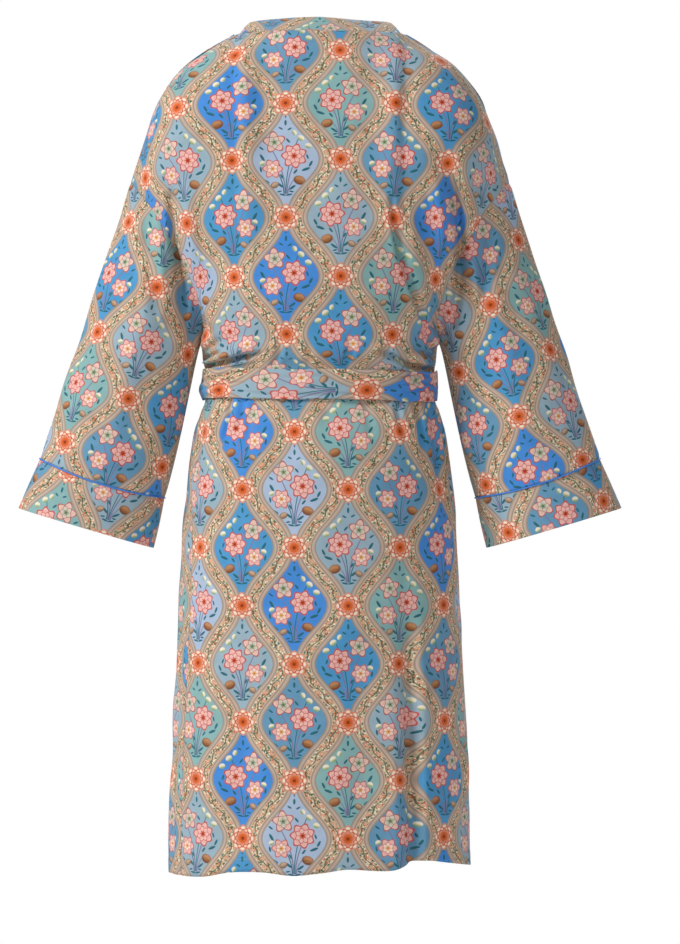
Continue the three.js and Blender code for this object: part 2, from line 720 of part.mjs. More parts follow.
// Piping: a round cord that lies on the cuff seam, moved out from its points.
function makePiping(name, side) {
  const turns = sleeveTurns();
  const axis = vector(side * 0.295, 0, -0.955);
  const positions = [];
  turns.forEach((turn) => {
    const out = ringOut(turn, side);
    const centre = ringPoint(CUFF_SEAM, turn, side).addScaledVector(out, PIPING_RADIUS + SEAM_GAP);
    for (let k = 0; k < PIPING_SIDES; k += 1) {
      const around = (2 * Math.PI * k) / PIPING_SIDES;
      const point = centre
        .clone()
        .addScaledVector(out, PIPING_RADIUS * Math.cos(around))
        .addScaledVector(axis, PIPING_RADIUS * Math.sin(around));
      positions.push(point.x, point.y, point.z);
    }
  });
  const faces = [];
  const count = turns.length;
  for (let i = 0; i < count; i += 1) {
    for (let k = 0; k < PIPING_SIDES; k += 1) {
      const a = i * PIPING_SIDES + k;
      const b = i * PIPING_SIDES + ((k + 1) % PIPING_SIDES);
      const c = ((i + 1) % count) * PIPING_SIDES + ((k + 1) % PIPING_SIDES);
      const d = ((i + 1) % count) * PIPING_SIDES + k;
      faces.push(a, b, c, a, c, d);
    }
  }
  return solid(name, positions, faces, PIPING_COLOUR);
}

// Point on the belt's inner face: the waist's section, clear of the layers of the fronts.
function beltPoint(angle, height, away) {
  const flat = bodyPoint(angle, WAIST_TOP);
  const a = bodyPoint(angle - 2, WAIST_TOP);
  const b = bodyPoint(angle + 2, WAIST_TOP);
  const out = vector(b.y - a.y, a.x - b.x, 0).normalize();
  if (out.dot(flat) < 0) {
    out.multiplyScalar(-1);
  }
  const front = ease((Math.abs(angle) - 80) / 40);
  flat.addScaledVector(out, BELT_CLEARANCE + front * WRAP_LIFT + away);
  flat.z = height;
  return flat;
}

function makeBelt() {
  const turns = Array.from({ length: BELT_COLUMNS }, (_, c) => -180 + (360 * c) / BELT_COLUMNS);
  const ring = (height, away) => turns.map((angle) => beltPoint(angle, height, away));
  const heights = [BELT_TOP, BELT_TOP - BELT_WIDTH / 2, BELT_TOP - BELT_WIDTH];
  const outer = heights.map((height) => ring(height, BELT_CLOTH));
  const inner = heights.map((height) => ring(height, 0));
  return wall("belt_wrap", outer, inner, true, BELT_COLOUR);
}

// The knot: a soft block, a little turned, that sits on the belt at the front.
function makeKnot() {
  const ball = new THREE.IcosahedronGeometry(1, 4);
  const source = ball.getAttribute("position");
  const front = beltPoint(180, BELT_TOP - BELT_WIDTH / 2, BELT_CLOTH).y;
  const seen = new Map();
  const positions = [];
  const faces = [];
  for (let i = 0; i < source.count; i += 1) {
    const p = vector(source.getX(i), source.getY(i), source.getZ(i));
    const tag = [p.x, p.y, p.z].map((value) => Math.round(value * 1e4)).join(" ");
    if (!seen.has(tag)) {
      seen.set(tag, positions.length / 3);
      const boxy = (value) => Math.sign(value) * Math.abs(value) ** 0.7;
      const groove = 1 - 0.12 * Math.exp(-((p.x * 2.4 - p.z * 0.9) ** 2) * 3) * Math.max(p.y, 0);
      const x = (boxy(p.x) * KNOT.width) / 2;
      const z = (boxy(p.z) * KNOT.height) / 2;
      positions.push(
        KNOT.x + x * Math.cos(KNOT.turn) - z * Math.sin(KNOT.turn),
        front + SEAM_GAP + (KNOT.depth / 2) * (1 + boxy(p.y) * groove),
        BELT_TOP - BELT_WIDTH / 2 + x * Math.sin(KNOT.turn) + z * Math.cos(KNOT.turn),
      );
    }
    faces.push(seen.get(tag));
  }
  return solid("belt_knot", positions, faces, BELT_COLOUR);
}

// Height of the knot's underside over a breadth of the belt's end.
function knotUnderside(knot, x, halfWidth) {
  const place = knot.geometry.getAttribute("position");
  let lowest = BELT_TOP;
  for (let i = 0; i < place.count; i += 1) {
    if (Math.abs(place.getX(i) - x) < halfWidth + KNOT_MARGIN) {
      lowest = Math.min(lowest, place.getZ(i));
    }
  }
  return lowest;
}

// One hanging end of the belt: out of the knot's underside, down over the skirt of the robe.
function makeBeltEnd(end, knot) {
  const gathered = (BELT_WIDTH / 2) * BELT_END_START.gather;
  const top = knotUnderside(knot, end.x, gathered) - SEAM_GAP;
  const line = (away) => {
    const rows = [];
    for (let r = 0; r <= BELT_END_ROWS; r += 1) {
      const drop = end.length * (r / BELT_END_ROWS) ** 1.3;
      const height = top - drop;
      const settled = ease(drop / BELT_END_START.fall);
      const stand = BELT_END_STAND + BELT_END_START.stand * (1 - settled);
      const centre = end.x + end.splay * ease(drop / (2 * BELT_END_START.fall));
      const half = gathered + (BELT_WIDTH / 2 - gathered) * settled;
      rows.push(
        [-1, -0.33, 0.33, 1].map((across) => {
          const x = centre + half * across;
          const width = read(BODY, "height", "halfWidth", height);
          const sine = Math.sign(x) * Math.abs(x / width) ** (SIDE_POWER / 2);
          const ground = bodyPoint(180 - Math.asin(sine) / RADIANS, height);
          return vector(x, ground.y + WRAP_LIFT + stand + away, height);
        }),
      );
    }
    return rows;
  };
  return wall(end.name, line(BELT_CLOTH), line(0), false, BELT_COLOUR);
}

const back = makeBack();
const left = makeFront(-1, true);
const right = makeFront(1, false);
const robe = new THREE.Group();
const panelWall = (name, panel) =>
  wall(name, panel.points, moved(panel.points, panel.normals, -CLOTH), false, CLOTH_COLOUR);

robe.add(panelWall("back", back));
robe.add(panelWall("front_left", left));
robe.add(panelWall("front_right", right));
robe.add(makeNeckband(back, left, right));
robe.add(makeSleeve("sleeve_left", back, left, -1));
robe.add(makeSleeve("sleeve_right", back, right, 1));
robe.add(makeCuff("cuff_left", -1));
robe.add(makeCuff("cuff_right", 1));
robe.add(makePiping("cuff_piping_left", -1));
robe.add(makePiping("cuff_piping_right", 1));
robe.add(makeBelt());
const knot = makeKnot();
robe.add(knot);
for (const end of BELT_ENDS) {
  robe.add(makeBeltEnd(end, knot));
}

export default robe;
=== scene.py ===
import bmesh
import bpy
import numpy as np
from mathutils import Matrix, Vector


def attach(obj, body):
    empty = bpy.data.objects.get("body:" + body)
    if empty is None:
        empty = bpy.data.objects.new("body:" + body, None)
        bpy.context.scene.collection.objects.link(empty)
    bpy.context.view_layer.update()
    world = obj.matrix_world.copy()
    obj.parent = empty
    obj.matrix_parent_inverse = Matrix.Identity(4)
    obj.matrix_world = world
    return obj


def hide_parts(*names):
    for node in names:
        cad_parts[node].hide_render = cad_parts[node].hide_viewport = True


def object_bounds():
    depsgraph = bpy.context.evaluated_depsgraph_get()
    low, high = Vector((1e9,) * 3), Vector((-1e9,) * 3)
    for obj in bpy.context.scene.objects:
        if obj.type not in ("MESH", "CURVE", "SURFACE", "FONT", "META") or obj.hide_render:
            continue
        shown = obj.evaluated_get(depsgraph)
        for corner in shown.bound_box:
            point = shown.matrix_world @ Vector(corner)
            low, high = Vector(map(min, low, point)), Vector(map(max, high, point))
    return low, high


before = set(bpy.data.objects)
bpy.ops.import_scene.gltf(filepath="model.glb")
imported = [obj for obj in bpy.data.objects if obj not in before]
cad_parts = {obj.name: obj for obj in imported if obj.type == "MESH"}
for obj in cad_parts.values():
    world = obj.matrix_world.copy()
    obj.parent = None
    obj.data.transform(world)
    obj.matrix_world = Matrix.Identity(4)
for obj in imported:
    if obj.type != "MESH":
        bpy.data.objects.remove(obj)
solid_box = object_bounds()

# ---------------------------------------------------------------- camera, light and floor
# A long lens square to the back, a large soft lamp high on the left and a weak one on the
# right, over a pale floor in an evenly lit white room.
# Millimetres of the robe in one pixel of the picture, and the picture's height in pixels.
PIXEL = 1.28
PICTURE_HEIGHT = 944
DISTANCE = 7000
SENSOR = 36
LOOK_X = 25.6
LOOK_Z = -540
FLOOR_HEIGHT = -1400
FLOOR_HALF = 2600


def linear(code, alpha=1.0):
    """Linear colour of an sRGB hex code: each channel is undone by the sRGB curve."""
    channels = np.array([int(code[i : i + 2], 16) for i in (1, 3, 5)]) / 255
    low = channels / 12.92
    high = ((channels + 0.055) / 1.055) ** 2.4
    return (*np.where(channels <= 0.04045, low, high).tolist(), alpha)


def node(tree, kind, *inputs, at=(), out=0, stops=(), **settings):
    """Adds a node, or a math node where the kind is an operation. Sets its properties and colour
    stops, feeds its inputs in order and by place from sockets, numbers or hex codes, and gives
    one output."""
    if kind.isupper():
        kind, settings = "ShaderNodeMath", {"operation": kind}
    made = tree.nodes.new(kind)
    for name, value in settings.items():
        setattr(made, name, value)
    for i, (position, code) in enumerate(stops):
        ramp = made.color_ramp.elements
        stop = ramp[i] if i < 2 else ramp.new(position)
        stop.position = position
        stop.color = linear(code)
    for place, value in [*enumerate(inputs), *dict(at).items()]:
        if isinstance(value, bpy.types.NodeSocket):
            tree.links.new(value, made.inputs[place])
        elif value is not None:
            made.inputs[place].default_value = linear(value) if isinstance(value, str) else value
    return made.outputs[out] if made.outputs else made


def add(name, data):
    """A new object of the scene with the given data."""
    made = bpy.data.objects.new(name, data)
    bpy.context.collection.objects.link(made)
    return made


def empty_material(name):
    """A new material and its node tree, without nodes."""
    material = bpy.data.materials.new(name)
    material.use_nodes = True
    material.node_tree.nodes.clear()
    return material, material.node_tree


camera_data = bpy.data.cameras.new("camera")
camera_data.sensor_width = SENSOR
camera_data.lens = SENSOR * DISTANCE / (PICTURE_HEIGHT * PIXEL)
camera_data.clip_end = 40
camera = add("camera", camera_data)
camera.location = (LOOK_X / 1000, -DISTANCE / 1000, LOOK_Z / 1000)
camera.rotation_euler = (np.pi / 2, 0, 0)
bpy.context.scene.camera = camera
bpy.context.scene.view_settings.view_transform = "Standard"

# Lamps: name, place, side and power. All of them aim at the robe's middle.
LAMPS = [
    ("key", (-3.2, -2.0, 2.3), 1.6, 164),
    ("fill", (1.6, -4.4, 0.4), 2.4, 24),
    ("behind", (0.6, 3.6, 1.8), 2.6, 90),
]
for name, place, size, power in LAMPS:
    lamp_data = bpy.data.lights.new(name, "AREA")
    lamp_data.size = size
    lamp_data.energy = power
    lamp = add(name, lamp_data)
    lamp.location = place
    aim = np.array([0, 0, -0.5]) - np.array(place)
    flat = np.hypot(aim[0], aim[1])
    lamp.rotation_euler = (np.arctan2(flat, -aim[2]), 0, np.arctan2(aim[1], aim[0]) - np.pi / 2)

world = bpy.data.worlds.new("white room")
world.use_nodes = True
room = world.node_tree
room.nodes.clear()
seen = node(room, "ShaderNodeBackground", "#FFFFFF", 1.0)
lights = node(room, "ShaderNodeBackground", "#F2F6FC", 0.36)
camera_ray = node(room, "ShaderNodeLightPath")
room_mix = node(room, "ShaderNodeMixShader", camera_ray, lights, seen)
node(room, "ShaderNodeOutputWorld", room_mix)
bpy.context.scene.world = world

floor_data = bpy.data.meshes.new("floor")
side = FLOOR_HALF / 1000
floor_z = FLOOR_HEIGHT / 1000
corners = [(x * side, y * side, floor_z) for x, y in ((-1, -1), (1, -1), (1, 1), (-1, 1))]
floor_data.from_pydata(corners, [], [(0, 1, 2, 3)])
floor = add("floor", floor_data)
floor_paint, tree = empty_material("pale matt floor paint")
noise = node(tree, "ShaderNodeTexNoise", None, None, 30.0)
pale = node(tree, "ShaderNodeValToRGB", noise, stops=[(0, "#ECECEC"), (1, "#F4F4F4")])
matt = node(tree, "ShaderNodeBsdfPrincipled", pale, 0.0, 0.8)
node(tree, "ShaderNodeOutputMaterial", matt)
floor_data.materials.append(floor_paint)

# ---------------------------------------------------------------- printed viscose jersey
# Soft knitted viscose, screen printed: a net of pointed ovals edged by garlands of small flowers,
# a rosette where the garlands meet, and a flowering sprig in each oval. Matt, with a faint bloom.
# Net in millimetres: breadth of a column of ovals, repeat down it, and swing of the line between
# two columns as a share of the breadth, then half breadths of the garland and the whole edge.
COLUMN = 68.0
PERIOD = 146.5
SWING = 20.0 / COLUMN
GARLAND_HALF = 5.6
EDGE_HALF = 13.2
BRIGHT = "#468BD5"
SKY = "#4E96C6"
STEEL = "#6697B6"
SAGE = "#88B0AE"
MIST = "#98AFBB"
LILAC = "#AABBD1"
# Grounds of the ovals down three rows, for each of six columns, before the colours repeat.
OVALS = [
    *(SAGE, MIST, SKY),
    *(MIST, STEEL, SAGE),
    *(SKY, BRIGHT, STEEL),
    *(SAGE, MIST, LILAC),
    *(BRIGHT, SKY, MIST),
    *(STEEL, LILAC, BRIGHT),
]
TAUPE = "#AE9F90"
BLUSH = "#C9AE9C"
UMBER = "#95816F"
PEACH = "#E0B397"
CREAM = "#F0E2C6"
PINK = "#E6A49C"
TEAL = "#2B6F7B"
MAUVE = "#7F779C"
LEAF_SHADE = "#225763"
BUD_SHADE = "#8FA76C"
# Colours of the garland's small flowers, each from a share of one up to the next.
GARLAND = [
    (0.0, CREAM), (0.2, "#D9B896"), (0.32, "#C9643F"), (0.44, "#CDB38F"), (0.54, "#4C5F50"),
    (0.7, CREAM), (0.84, "#77937F"), (0.93, "#C4623F"),
]
# Lines of the edge: distance from the garland's middle, half breadth, colour.
EDGE_LINES = [(12.7, 0.5, UMBER), (9.7, 0.9, BLUSH), (7.4, 0.5, UMBER), (6.0, 0.6, PEACH)]
# Sprig, in millimetres from the oval's middle, across and down. It is turned over in every
# other column. Stems: foot across, top, bend, half width, colour.
STEMS = [
    (-1.5, -2, -0.0062, 0.75, MAUVE),
    (0.8, -14, 0.0052, 0.75, MAUVE),
    (2.4, 16, 0.0105, 0.7, TEAL),
    (-2.6, 24, -0.024, 0.6, MAUVE),
    (0.0, -27, -0.0032, 0.6, TEAL),
]
STEM_FOOT = 44.0
# Leaves, then pods and buds: middle, half length, half breadth, turn in degrees, two colours.
LEAVES = [
    (-25, 13, 5.5, 1.7, 20),
    (-31, 6, 4.2, 1.5, 62),
    (29, -2, 5.0, 1.7, -58),
    (25, 28, 5.2, 1.6, -28),
    (31, 13, 3.6, 1.3, -80),
    (7, 33, 5.0, 1.5, -38),
    (-8, 36, 5.0, 1.5, 35),
    (0, -47, 3.6, 1.5, 90),
    (-5, -39, 3.0, 1.1, 30),
    (6, -40, 3.0, 1.1, -30),
    (-4, 45, 4.2, 1.1, 12),
    (4, 45, 4.2, 1.1, -12),
    (-27, -3, 3.2, 1.2, -70),
    (-3, -24, 3.6, 1.3, -50),
    (30, -14, 3.4, 1.2, -35),
    (-12, 16, 3.6, 1.3, 50),
    (5, 22, 3.4, 1.2, -60),
    (0, -56, 2.8, 1.0, 90),
    (-7, 41, 3.0, 1.0, -10),
    (8, 41, 3.0, 1.0, 10),
]
SPOTS = [
    *((*leaf, TEAL, LEAF_SHADE) for leaf in LEAVES),
    (-17, 27, 7.6, 5.6, -18, "#8C5A38", "#7A4A2A"),
    (-17.6, 26.2, 5.8, 4.0, -18, "#BC8458", "#96613A"),
    (14, 33, 5.4, 4.0, 25, "#94755C", "#7F6450"),
    (13.6, 32.4, 3.9, 2.7, 25, "#C6A285", "#A28167"),
    (-19, -27, 4.4, 3.6, -35, CREAM, BUD_SHADE),
    (-28, -17, 4.2, 3.4, -15, CREAM, BUD_SHADE),
    (-11, -34, 3.6, 3.0, -60, CREAM, BUD_SHADE),
    (29, 5, 3.6, 3.0, 20, CREAM, BUD_SHADE),
]
# Garland: a vine that swings from side to side once in each bend's length, with two leaves and
# a small flower in each half of it. Leaves: middle, half length and breadth, cosine and sine of
# the turn, two colours.
VINE_BEND = 22.0
VINE_SWING = 1.7
VINE_LEAVES = [
    (-4.2, 4.4, 1.6, 0.8, 0.8, 0.6, "#5E7F6A", "#46624F"),
    (-4.4, -4.2, 1.5, 0.8, 0.8, -0.6, "#5E7F6A", "#46624F"),
]
# Flowers of the garland, the rosette and the sprig: middle, radius, petals, turn, depth of the
# petals, rim, petal, throat, heart.
VINE_FLOWER = (2.6, 0, 2.2, 5, 0.5, 0.2, "#A9502F", "#DE9670", "#F3DDB8", "#B5431F")
ROSETTES = [
    (0, 0, 15.8, 8, 0, 0.1, "#DB8F74", "#F2DCC0", "#E2936F", "#B6411A"),
    (0, 0, 12.4, 8, 3.14, 0.12, "#D56A4C", "#F2BD94", "#E07F52", "#B6411A"),
    (0, 0, 10.2, 8, 0, 0.13, "#C14C24", "#DF6A2C", "#D05A20", "#8F3614"),
]
BLOSSOMS = [
    (-10.5, -4, 14.6, 7, 0.4, 0.13, "#C4534C", PINK, "#D2685C", "#A93C17"),
    (-10.5, -4, 9.0, 7, 3.54, 0.16, "#C75B50", "#EBB0A4", "#CF5B43", "#9E3413"),
    (14, -22, 12.2, 5, 0.9, 0.2, "#B05B4F", "#E2B1A0", "#94A487", "#6C7F4E"),
    (14, -22, 7.4, 5, 4.04, 0.16, "#A9776A", "#C9C0AC", "#8A9B7C", "#5C6F42"),
    (16.5, 12, 11.2, 6, 0.2, 0.16, "#C4655C", PINK, "#E9BCA6", "#D99046"),
    (16.5, 12, 6.6, 6, 3.34, 0.14, "#CB7D6A", "#F0D2C0", "#E4A566", "#C77F2E"),
]

MAP = "ShaderNodeMapRange"
GROUP = "ShaderNodeGroup"
# A mix of two colours: its sockets 6 and 7 take the colours, its output 2 gives the result.
MIX = "ShaderNodeMix"
RGBA = {"data_type": "RGBA", "out": 2}


def group(name, numbers, colours):
    """An empty node group with a colour under it, number inputs, then colour inputs."""
    tree = bpy.data.node_groups.new(name, "ShaderNodeTree")
    labels = ["Under", *numbers.split(), *colours.split()]
    for i, label in enumerate(labels):
        kind = "Float" if 0 < i <= len(numbers.split()) else "Color"
        tree.interface.new_socket(label, in_out="INPUT", socket_type=f"NodeSocket{kind}")
    tree.interface.new_socket("Colour", in_out="OUTPUT", socket_type="NodeSocketColor")
    return tree, node(tree, "NodeGroupInput").node.outputs


def flower_group():
    """A flower: its radius swings with the cosine of the turn times the petals. Rings of heart,
    throat, petal and rim lie at shares of that radius."""
    numbers = "X Y Across Down Radius Petals Turn Depth"
    tree, given = group("flower", numbers, "Rim Petal Throat Heart")
    dx = node(tree, "SUBTRACT", given["X"], given["Across"])
    dy = node(tree, "SUBTRACT", given["Y"], given["Down"])
    turn = node(tree, "ARCTAN2", dy, dx)
    place = node(tree, "ShaderNodeCombineXYZ", dx, dy)
    far = node(tree, "ShaderNodeVectorMath", place, operation="LENGTH", out=1)
    phase = node(tree, "MULTIPLY_ADD", turn, given["Petals"], given["Turn"])
    wave = node(tree, "COSINE", phase)
    lobe = node(tree, "MULTIPLY_ADD", wave, given["Depth"], 1.0)
    reach = node(tree, "MULTIPLY", lobe, given["Radius"])
    share = node(tree, "DIVIDE", far, reach)
    ray = node(tree, "MULTIPLY_ADD", wave, 0.16, share)
    notch = node(tree, MAP, wave, -1.0, -0.8, 0.75, 0.0)
    deep = node(tree, MAP, share, 0.3, 0.55, 0.0, 1.0)
    notch = node(tree, "MULTIPLY", notch, deep)
    throat = node(tree, MAP, ray, 0.38, 0.46, 1.0, 0.0)
    rim = node(tree, MAP, share, 0.84, 0.9, 0.0, 1.0)
    rim = node(tree, "MAXIMUM", rim, notch)
    heart = node(tree, MAP, share, 0.17, 0.24, 1.0, 0.0)
    inside = node(tree, MAP, share, 0.97, 1.03, 1.0, 0.0)
    tip = node(tree, MAP, share, 0.5, 0.82, 0.0, 0.32)
    face = node(tree, MIX, tip, at={6: given["Petal"], 7: "#F6E6DC"}, **RGBA)
    face = node(tree, MIX, throat, at={6: face, 7: given["Throat"]}, **RGBA)
    face = node(tree, MIX, rim, at={6: face, 7: given["Rim"]}, **RGBA)
    face = node(tree, MIX, heart, at={6: face, 7: given["Heart"]}, **RGBA)
    laid = node(tree, MIX, inside, at={6: given["Under"], 7: face}, **RGBA)
    node(tree, "NodeGroupOutput", laid)
    return tree


def spot_group():
    """An oval spot: the distance in a turned and stretched frame, shaded across its breadth."""
    tree, given = group("spot", "X Y Across Down Length Breadth Cosine Sine", "Face Shade")
    dx = node(tree, "SUBTRACT", given["X"], given["Across"])
    dy = node(tree, "SUBTRACT", given["Y"], given["Down"])
    cross = node(tree, "MULTIPLY", dy, given["Sine"])
    along = node(tree, "MULTIPLY_ADD", dx, given["Cosine"], cross)
    back = node(tree, "MULTIPLY", dx, given["Sine"])
    level = node(tree, "MULTIPLY", dy, given["Cosine"])
    aside = node(tree, "SUBTRACT", level, back)
    long_share = node(tree, "DIVIDE", along, given["Length"])
    wide_share = node(tree, "DIVIDE", aside, given["Breadth"])
    place = node(tree, "ShaderNodeCombineXYZ", long_share, wide_share)
    far = node(tree, "ShaderNodeVectorMath", place, operation="LENGTH", out=1)
    shade = node(tree, MAP, wide_share, -0.2, 0.6, 0.0, 1.0)
    face = node(tree, MIX, shade, at={6: given["Face"], 7: given["Shade"]}, **RGBA)
    inside = node(tree, MAP, far, 0.9, 1.1, 1.0, 0.0)
    laid = node(tree, MIX, inside, at={6: given["Under"], 7: face}, **RGBA)
    node(tree, "NodeGroupOutput", laid)
    return tree


def stem_group():
    """A stem: a thin line whose place across grows with the square of its height."""
    tree, given = group("stem", "X Y Foot FootDown Top Bend Half", "Face")
    rise = node(tree, "SUBTRACT", given["FootDown"], given["Y"])
    square = node(tree, "MULTIPLY", rise, rise)
    line = node(tree, "MULTIPLY_ADD", square, given["Bend"], given["Foot"])
    off = node(tree, "SUBTRACT", given["X"], line)
    off = node(tree, "ABSOLUTE", off)
    share = node(tree, "DIVIDE", off, given["Half"])
    near = node(tree, MAP, share, 0.7, 1.3, 1.0, 0.0)
    above = node(tree, "GREATER_THAN", rise, 0.0)
    below = node(tree, "GREATER_THAN", given["Y"], given["Top"])
    both = node(tree, "MULTIPLY", above, below)
    inside = node(tree, "MULTIPLY", near, both)
    laid = node(tree, MIX, inside, at={6: given["Under"], 7: given["Face"]}, **RGBA)
    node(tree, "NodeGroupOutput", laid)
    return tree


def print_group(flower, spot, stem):
    """The print from cloth millimetres. The line between two columns of ovals swings with the
    cosine of the height; the distance to it gives the garland, the edge and the oval."""
    tree = bpy.data.node_groups.new("ogee print", "ShaderNodeTree")
    tree.interface.new_socket("Colour", in_out="OUTPUT", socket_type="NodeSocketColor")
    # Place on the cloth, and the line between two columns nearest to it.
    cloth = node(tree, "ShaderNodeUVMap", uv_map="cloth")
    split = node(tree, "ShaderNodeSeparateXYZ", cloth).node.outputs
    x = node(tree, "MULTIPLY", split[0], 1000.0)
    y = node(tree, "MULTIPLY", split[1], -1000.0)
    a = node(tree, "DIVIDE", x, COLUMN)
    q = node(tree, "DIVIDE", y, PERIOD)
    lower = node(tree, "FLOOR", a)
    part = node(tree, "SUBTRACT", a, lower)
    odd_low = node(tree, "FLOORED_MODULO", lower, 2.0)
    sign = node(tree, "MULTIPLY_ADD", odd_low, -2.0, 1.0)
    angle = node(tree, "MULTIPLY", q, 2 * np.pi)
    wave = node(tree, "COSINE", angle)
    swing = node(tree, "MULTIPLY", wave, sign)
    line = node(tree, "MULTIPLY_ADD", swing, -SWING, 0.5)
    off = node(tree, "SUBTRACT", part, line)
    rightward = node(tree, "GREATER_THAN", off, 0.0)
    k = node(tree, "ADD", lower, rightward)
    slope = node(tree, "SINE", angle)
    slope = node(tree, "MULTIPLY", slope, SWING * COLUMN * 2 * np.pi / PERIOD)
    lean = node(tree, "MULTIPLY_ADD", slope, slope, 1.0)
    lean = node(tree, "SQRT", lean)
    side_gap = node(tree, "MULTIPLY", off, COLUMN)
    side_gap = node(tree, "DIVIDE", side_gap, lean)
    gap = node(tree, "ABSOLUTE", side_gap)

    # Column and row of the oval, and the place in it.
    odd = node(tree, "FLOORED_MODULO", k, 2.0)
    shifted = node(tree, "MULTIPLY_ADD", odd, 0.5, q)
    m = node(tree, "FLOOR", shifted)
    within = node(tree, "SUBTRACT", shifted, m)
    ly = node(tree, "MULTIPLY_ADD", within, PERIOD, -PERIOD / 2)
    lx = node(tree, "SUBTRACT", a, k)
    lx = node(tree, "MULTIPLY", lx, COLUMN)
    mirror = node(tree, "MULTIPLY_ADD", odd, -2.0, 1.0)
    lx = node(tree, "MULTIPLY", lx, mirror)

    # Ground of the oval, then the sprig on it.
    six = node(tree, "FLOORED_MODULO", k, 6.0)
    three = node(tree, "FLOORED_MODULO", m, 3.0)
    index = node(tree, "MULTIPLY_ADD", six, 3.0, three)
    index = node(tree, "ADD", index, 0.5)
    index = node(tree, "DIVIDE", index, float(len(OVALS)))
    shares = [(i / len(OVALS), code) for i, code in enumerate(OVALS)]
    colour = node(tree, "ShaderNodeValToRGB", index, stops=shares)
    colour.node.color_ramp.interpolation = "CONSTANT"

    for foot, top_at, bend, half, face in STEMS:
        row = (foot, STEM_FOOT, top_at, bend, half, face)
        colour = node(tree, GROUP, colour, lx, ly, *row, node_tree=stem)
    for *place, turn, face, shade in SPOTS:
        row = (*place, np.cos(np.radians(turn)), np.sin(np.radians(turn)), face, shade)
        colour = node(tree, GROUP, colour, lx, ly, *row, node_tree=spot)
    for row in BLOSSOMS:
        colour = node(tree, GROUP, colour, lx, ly, *row, node_tree=flower)

    # Edge of the ovals, with its lines.
    edge = node(tree, MAP, gap, EDGE_HALF - 0.5, EDGE_HALF + 0.5, 1.0, 0.0)
    colour = node(tree, MIX, edge, at={6: colour, 7: TAUPE}, **RGBA)
    for middle, half, line_colour in EDGE_LINES:
        stripe = node(tree, "SUBTRACT", gap, middle)
        stripe = node(tree, "ABSOLUTE", stripe)
        stripe = node(tree, MAP, stripe, half - 0.35, half + 0.35, 0.85, 0.0)
        colour = node(tree, MIX, stripe, at={6: colour, 7: line_colour}, **RGBA)

    # Garland along the edge's middle: scattered petals under a vine with flowers.
    flat = node(tree, "ShaderNodeCombineXYZ", x, y)
    ground = node(tree, MAP, gap, GARLAND_HALF - 0.3, GARLAND_HALF + 0.3, 1.0, 0.0)
    petals = node(tree, "ShaderNodeTexVoronoi", flat, None, 0.4, voronoi_dimensions="2D")
    petals = petals.node.outputs
    pick = node(tree, "ShaderNodeSeparateColor", petals["Color"])
    bits = node(tree, "ShaderNodeValToRGB", pick, stops=GARLAND)
    bits.node.color_ramp.interpolation = "CONSTANT"
    core = node(tree, MAP, petals["Distance"], 0.38, 0.5, 1.0, 0.0)
    garland = node(tree, MIX, core, at={6: "#C3AB88", 7: bits}, **RGBA)
    bends = node(tree, "DIVIDE", y, VINE_BEND)
    vine = node(tree, "MULTIPLY", bends, 2 * np.pi)
    vine = node(tree, "SINE", vine)
    vine = node(tree, "MULTIPLY_ADD", vine, -VINE_SWING, side_gap)
    vine = node(tree, "ABSOLUTE", vine)
    vine = node(tree, MAP, vine, 0.5, 1.0, 0.85, 0.0)
    garland = node(tree, MIX, vine, at={6: garland, 7: "#4F5A44"}, **RGBA)
    bend = node(tree, "MULTIPLY", bends, 2.0)
    bend_index = node(tree, "FLOOR", bend)
    bend_odd = node(tree, "FLOORED_MODULO", bend_index, 2.0)
    bend_sign = node(tree, "MULTIPLY_ADD", bend_odd, 2.0, -1.0)
    vx = node(tree, "MULTIPLY", side_gap, bend_sign)
    vy = node(tree, "SUBTRACT", bend, bend_index)
    vy = node(tree, "MULTIPLY_ADD", vy, VINE_BEND / 2, -VINE_BEND / 4)
    for row in VINE_LEAVES:
        garland = node(tree, GROUP, garland, vx, vy, *row, node_tree=spot)
    garland = node(tree, GROUP, garland, vx, vy, *VINE_FLOWER, node_tree=flower)
    colour = node(tree, MIX, ground, at={6: colour, 7: garland}, **RGBA)

    # Rosette wherever two garlands meet.
    near = node(tree, "ROUND", a)
    rx = node(tree, "SUBTRACT", a, near)
    rx = node(tree, "MULTIPLY", rx, COLUMN)
    odd_near = node(tree, "FLOORED_MODULO", near, 2.0)
    rq = node(tree, "MULTIPLY_ADD", odd_near, 0.5, q)
    rq_near = node(tree, "ROUND", rq)
    ry = node(tree, "SUBTRACT", rq, rq_near)
    ry = node(tree, "MULTIPLY", ry, PERIOD)
    for row in ROSETTES:
        colour = node(tree, GROUP, colour, rx, ry, *row, node_tree=flower)
    node(tree, "NodeGroupOutput", colour)
    return tree


ogee_print = print_group(flower_group(), spot_group(), stem_group())
KNIT_LOOP = 1.1
VISCOSE_ROUGH = 0.82
VISCOSE_SHEEN = 0.12


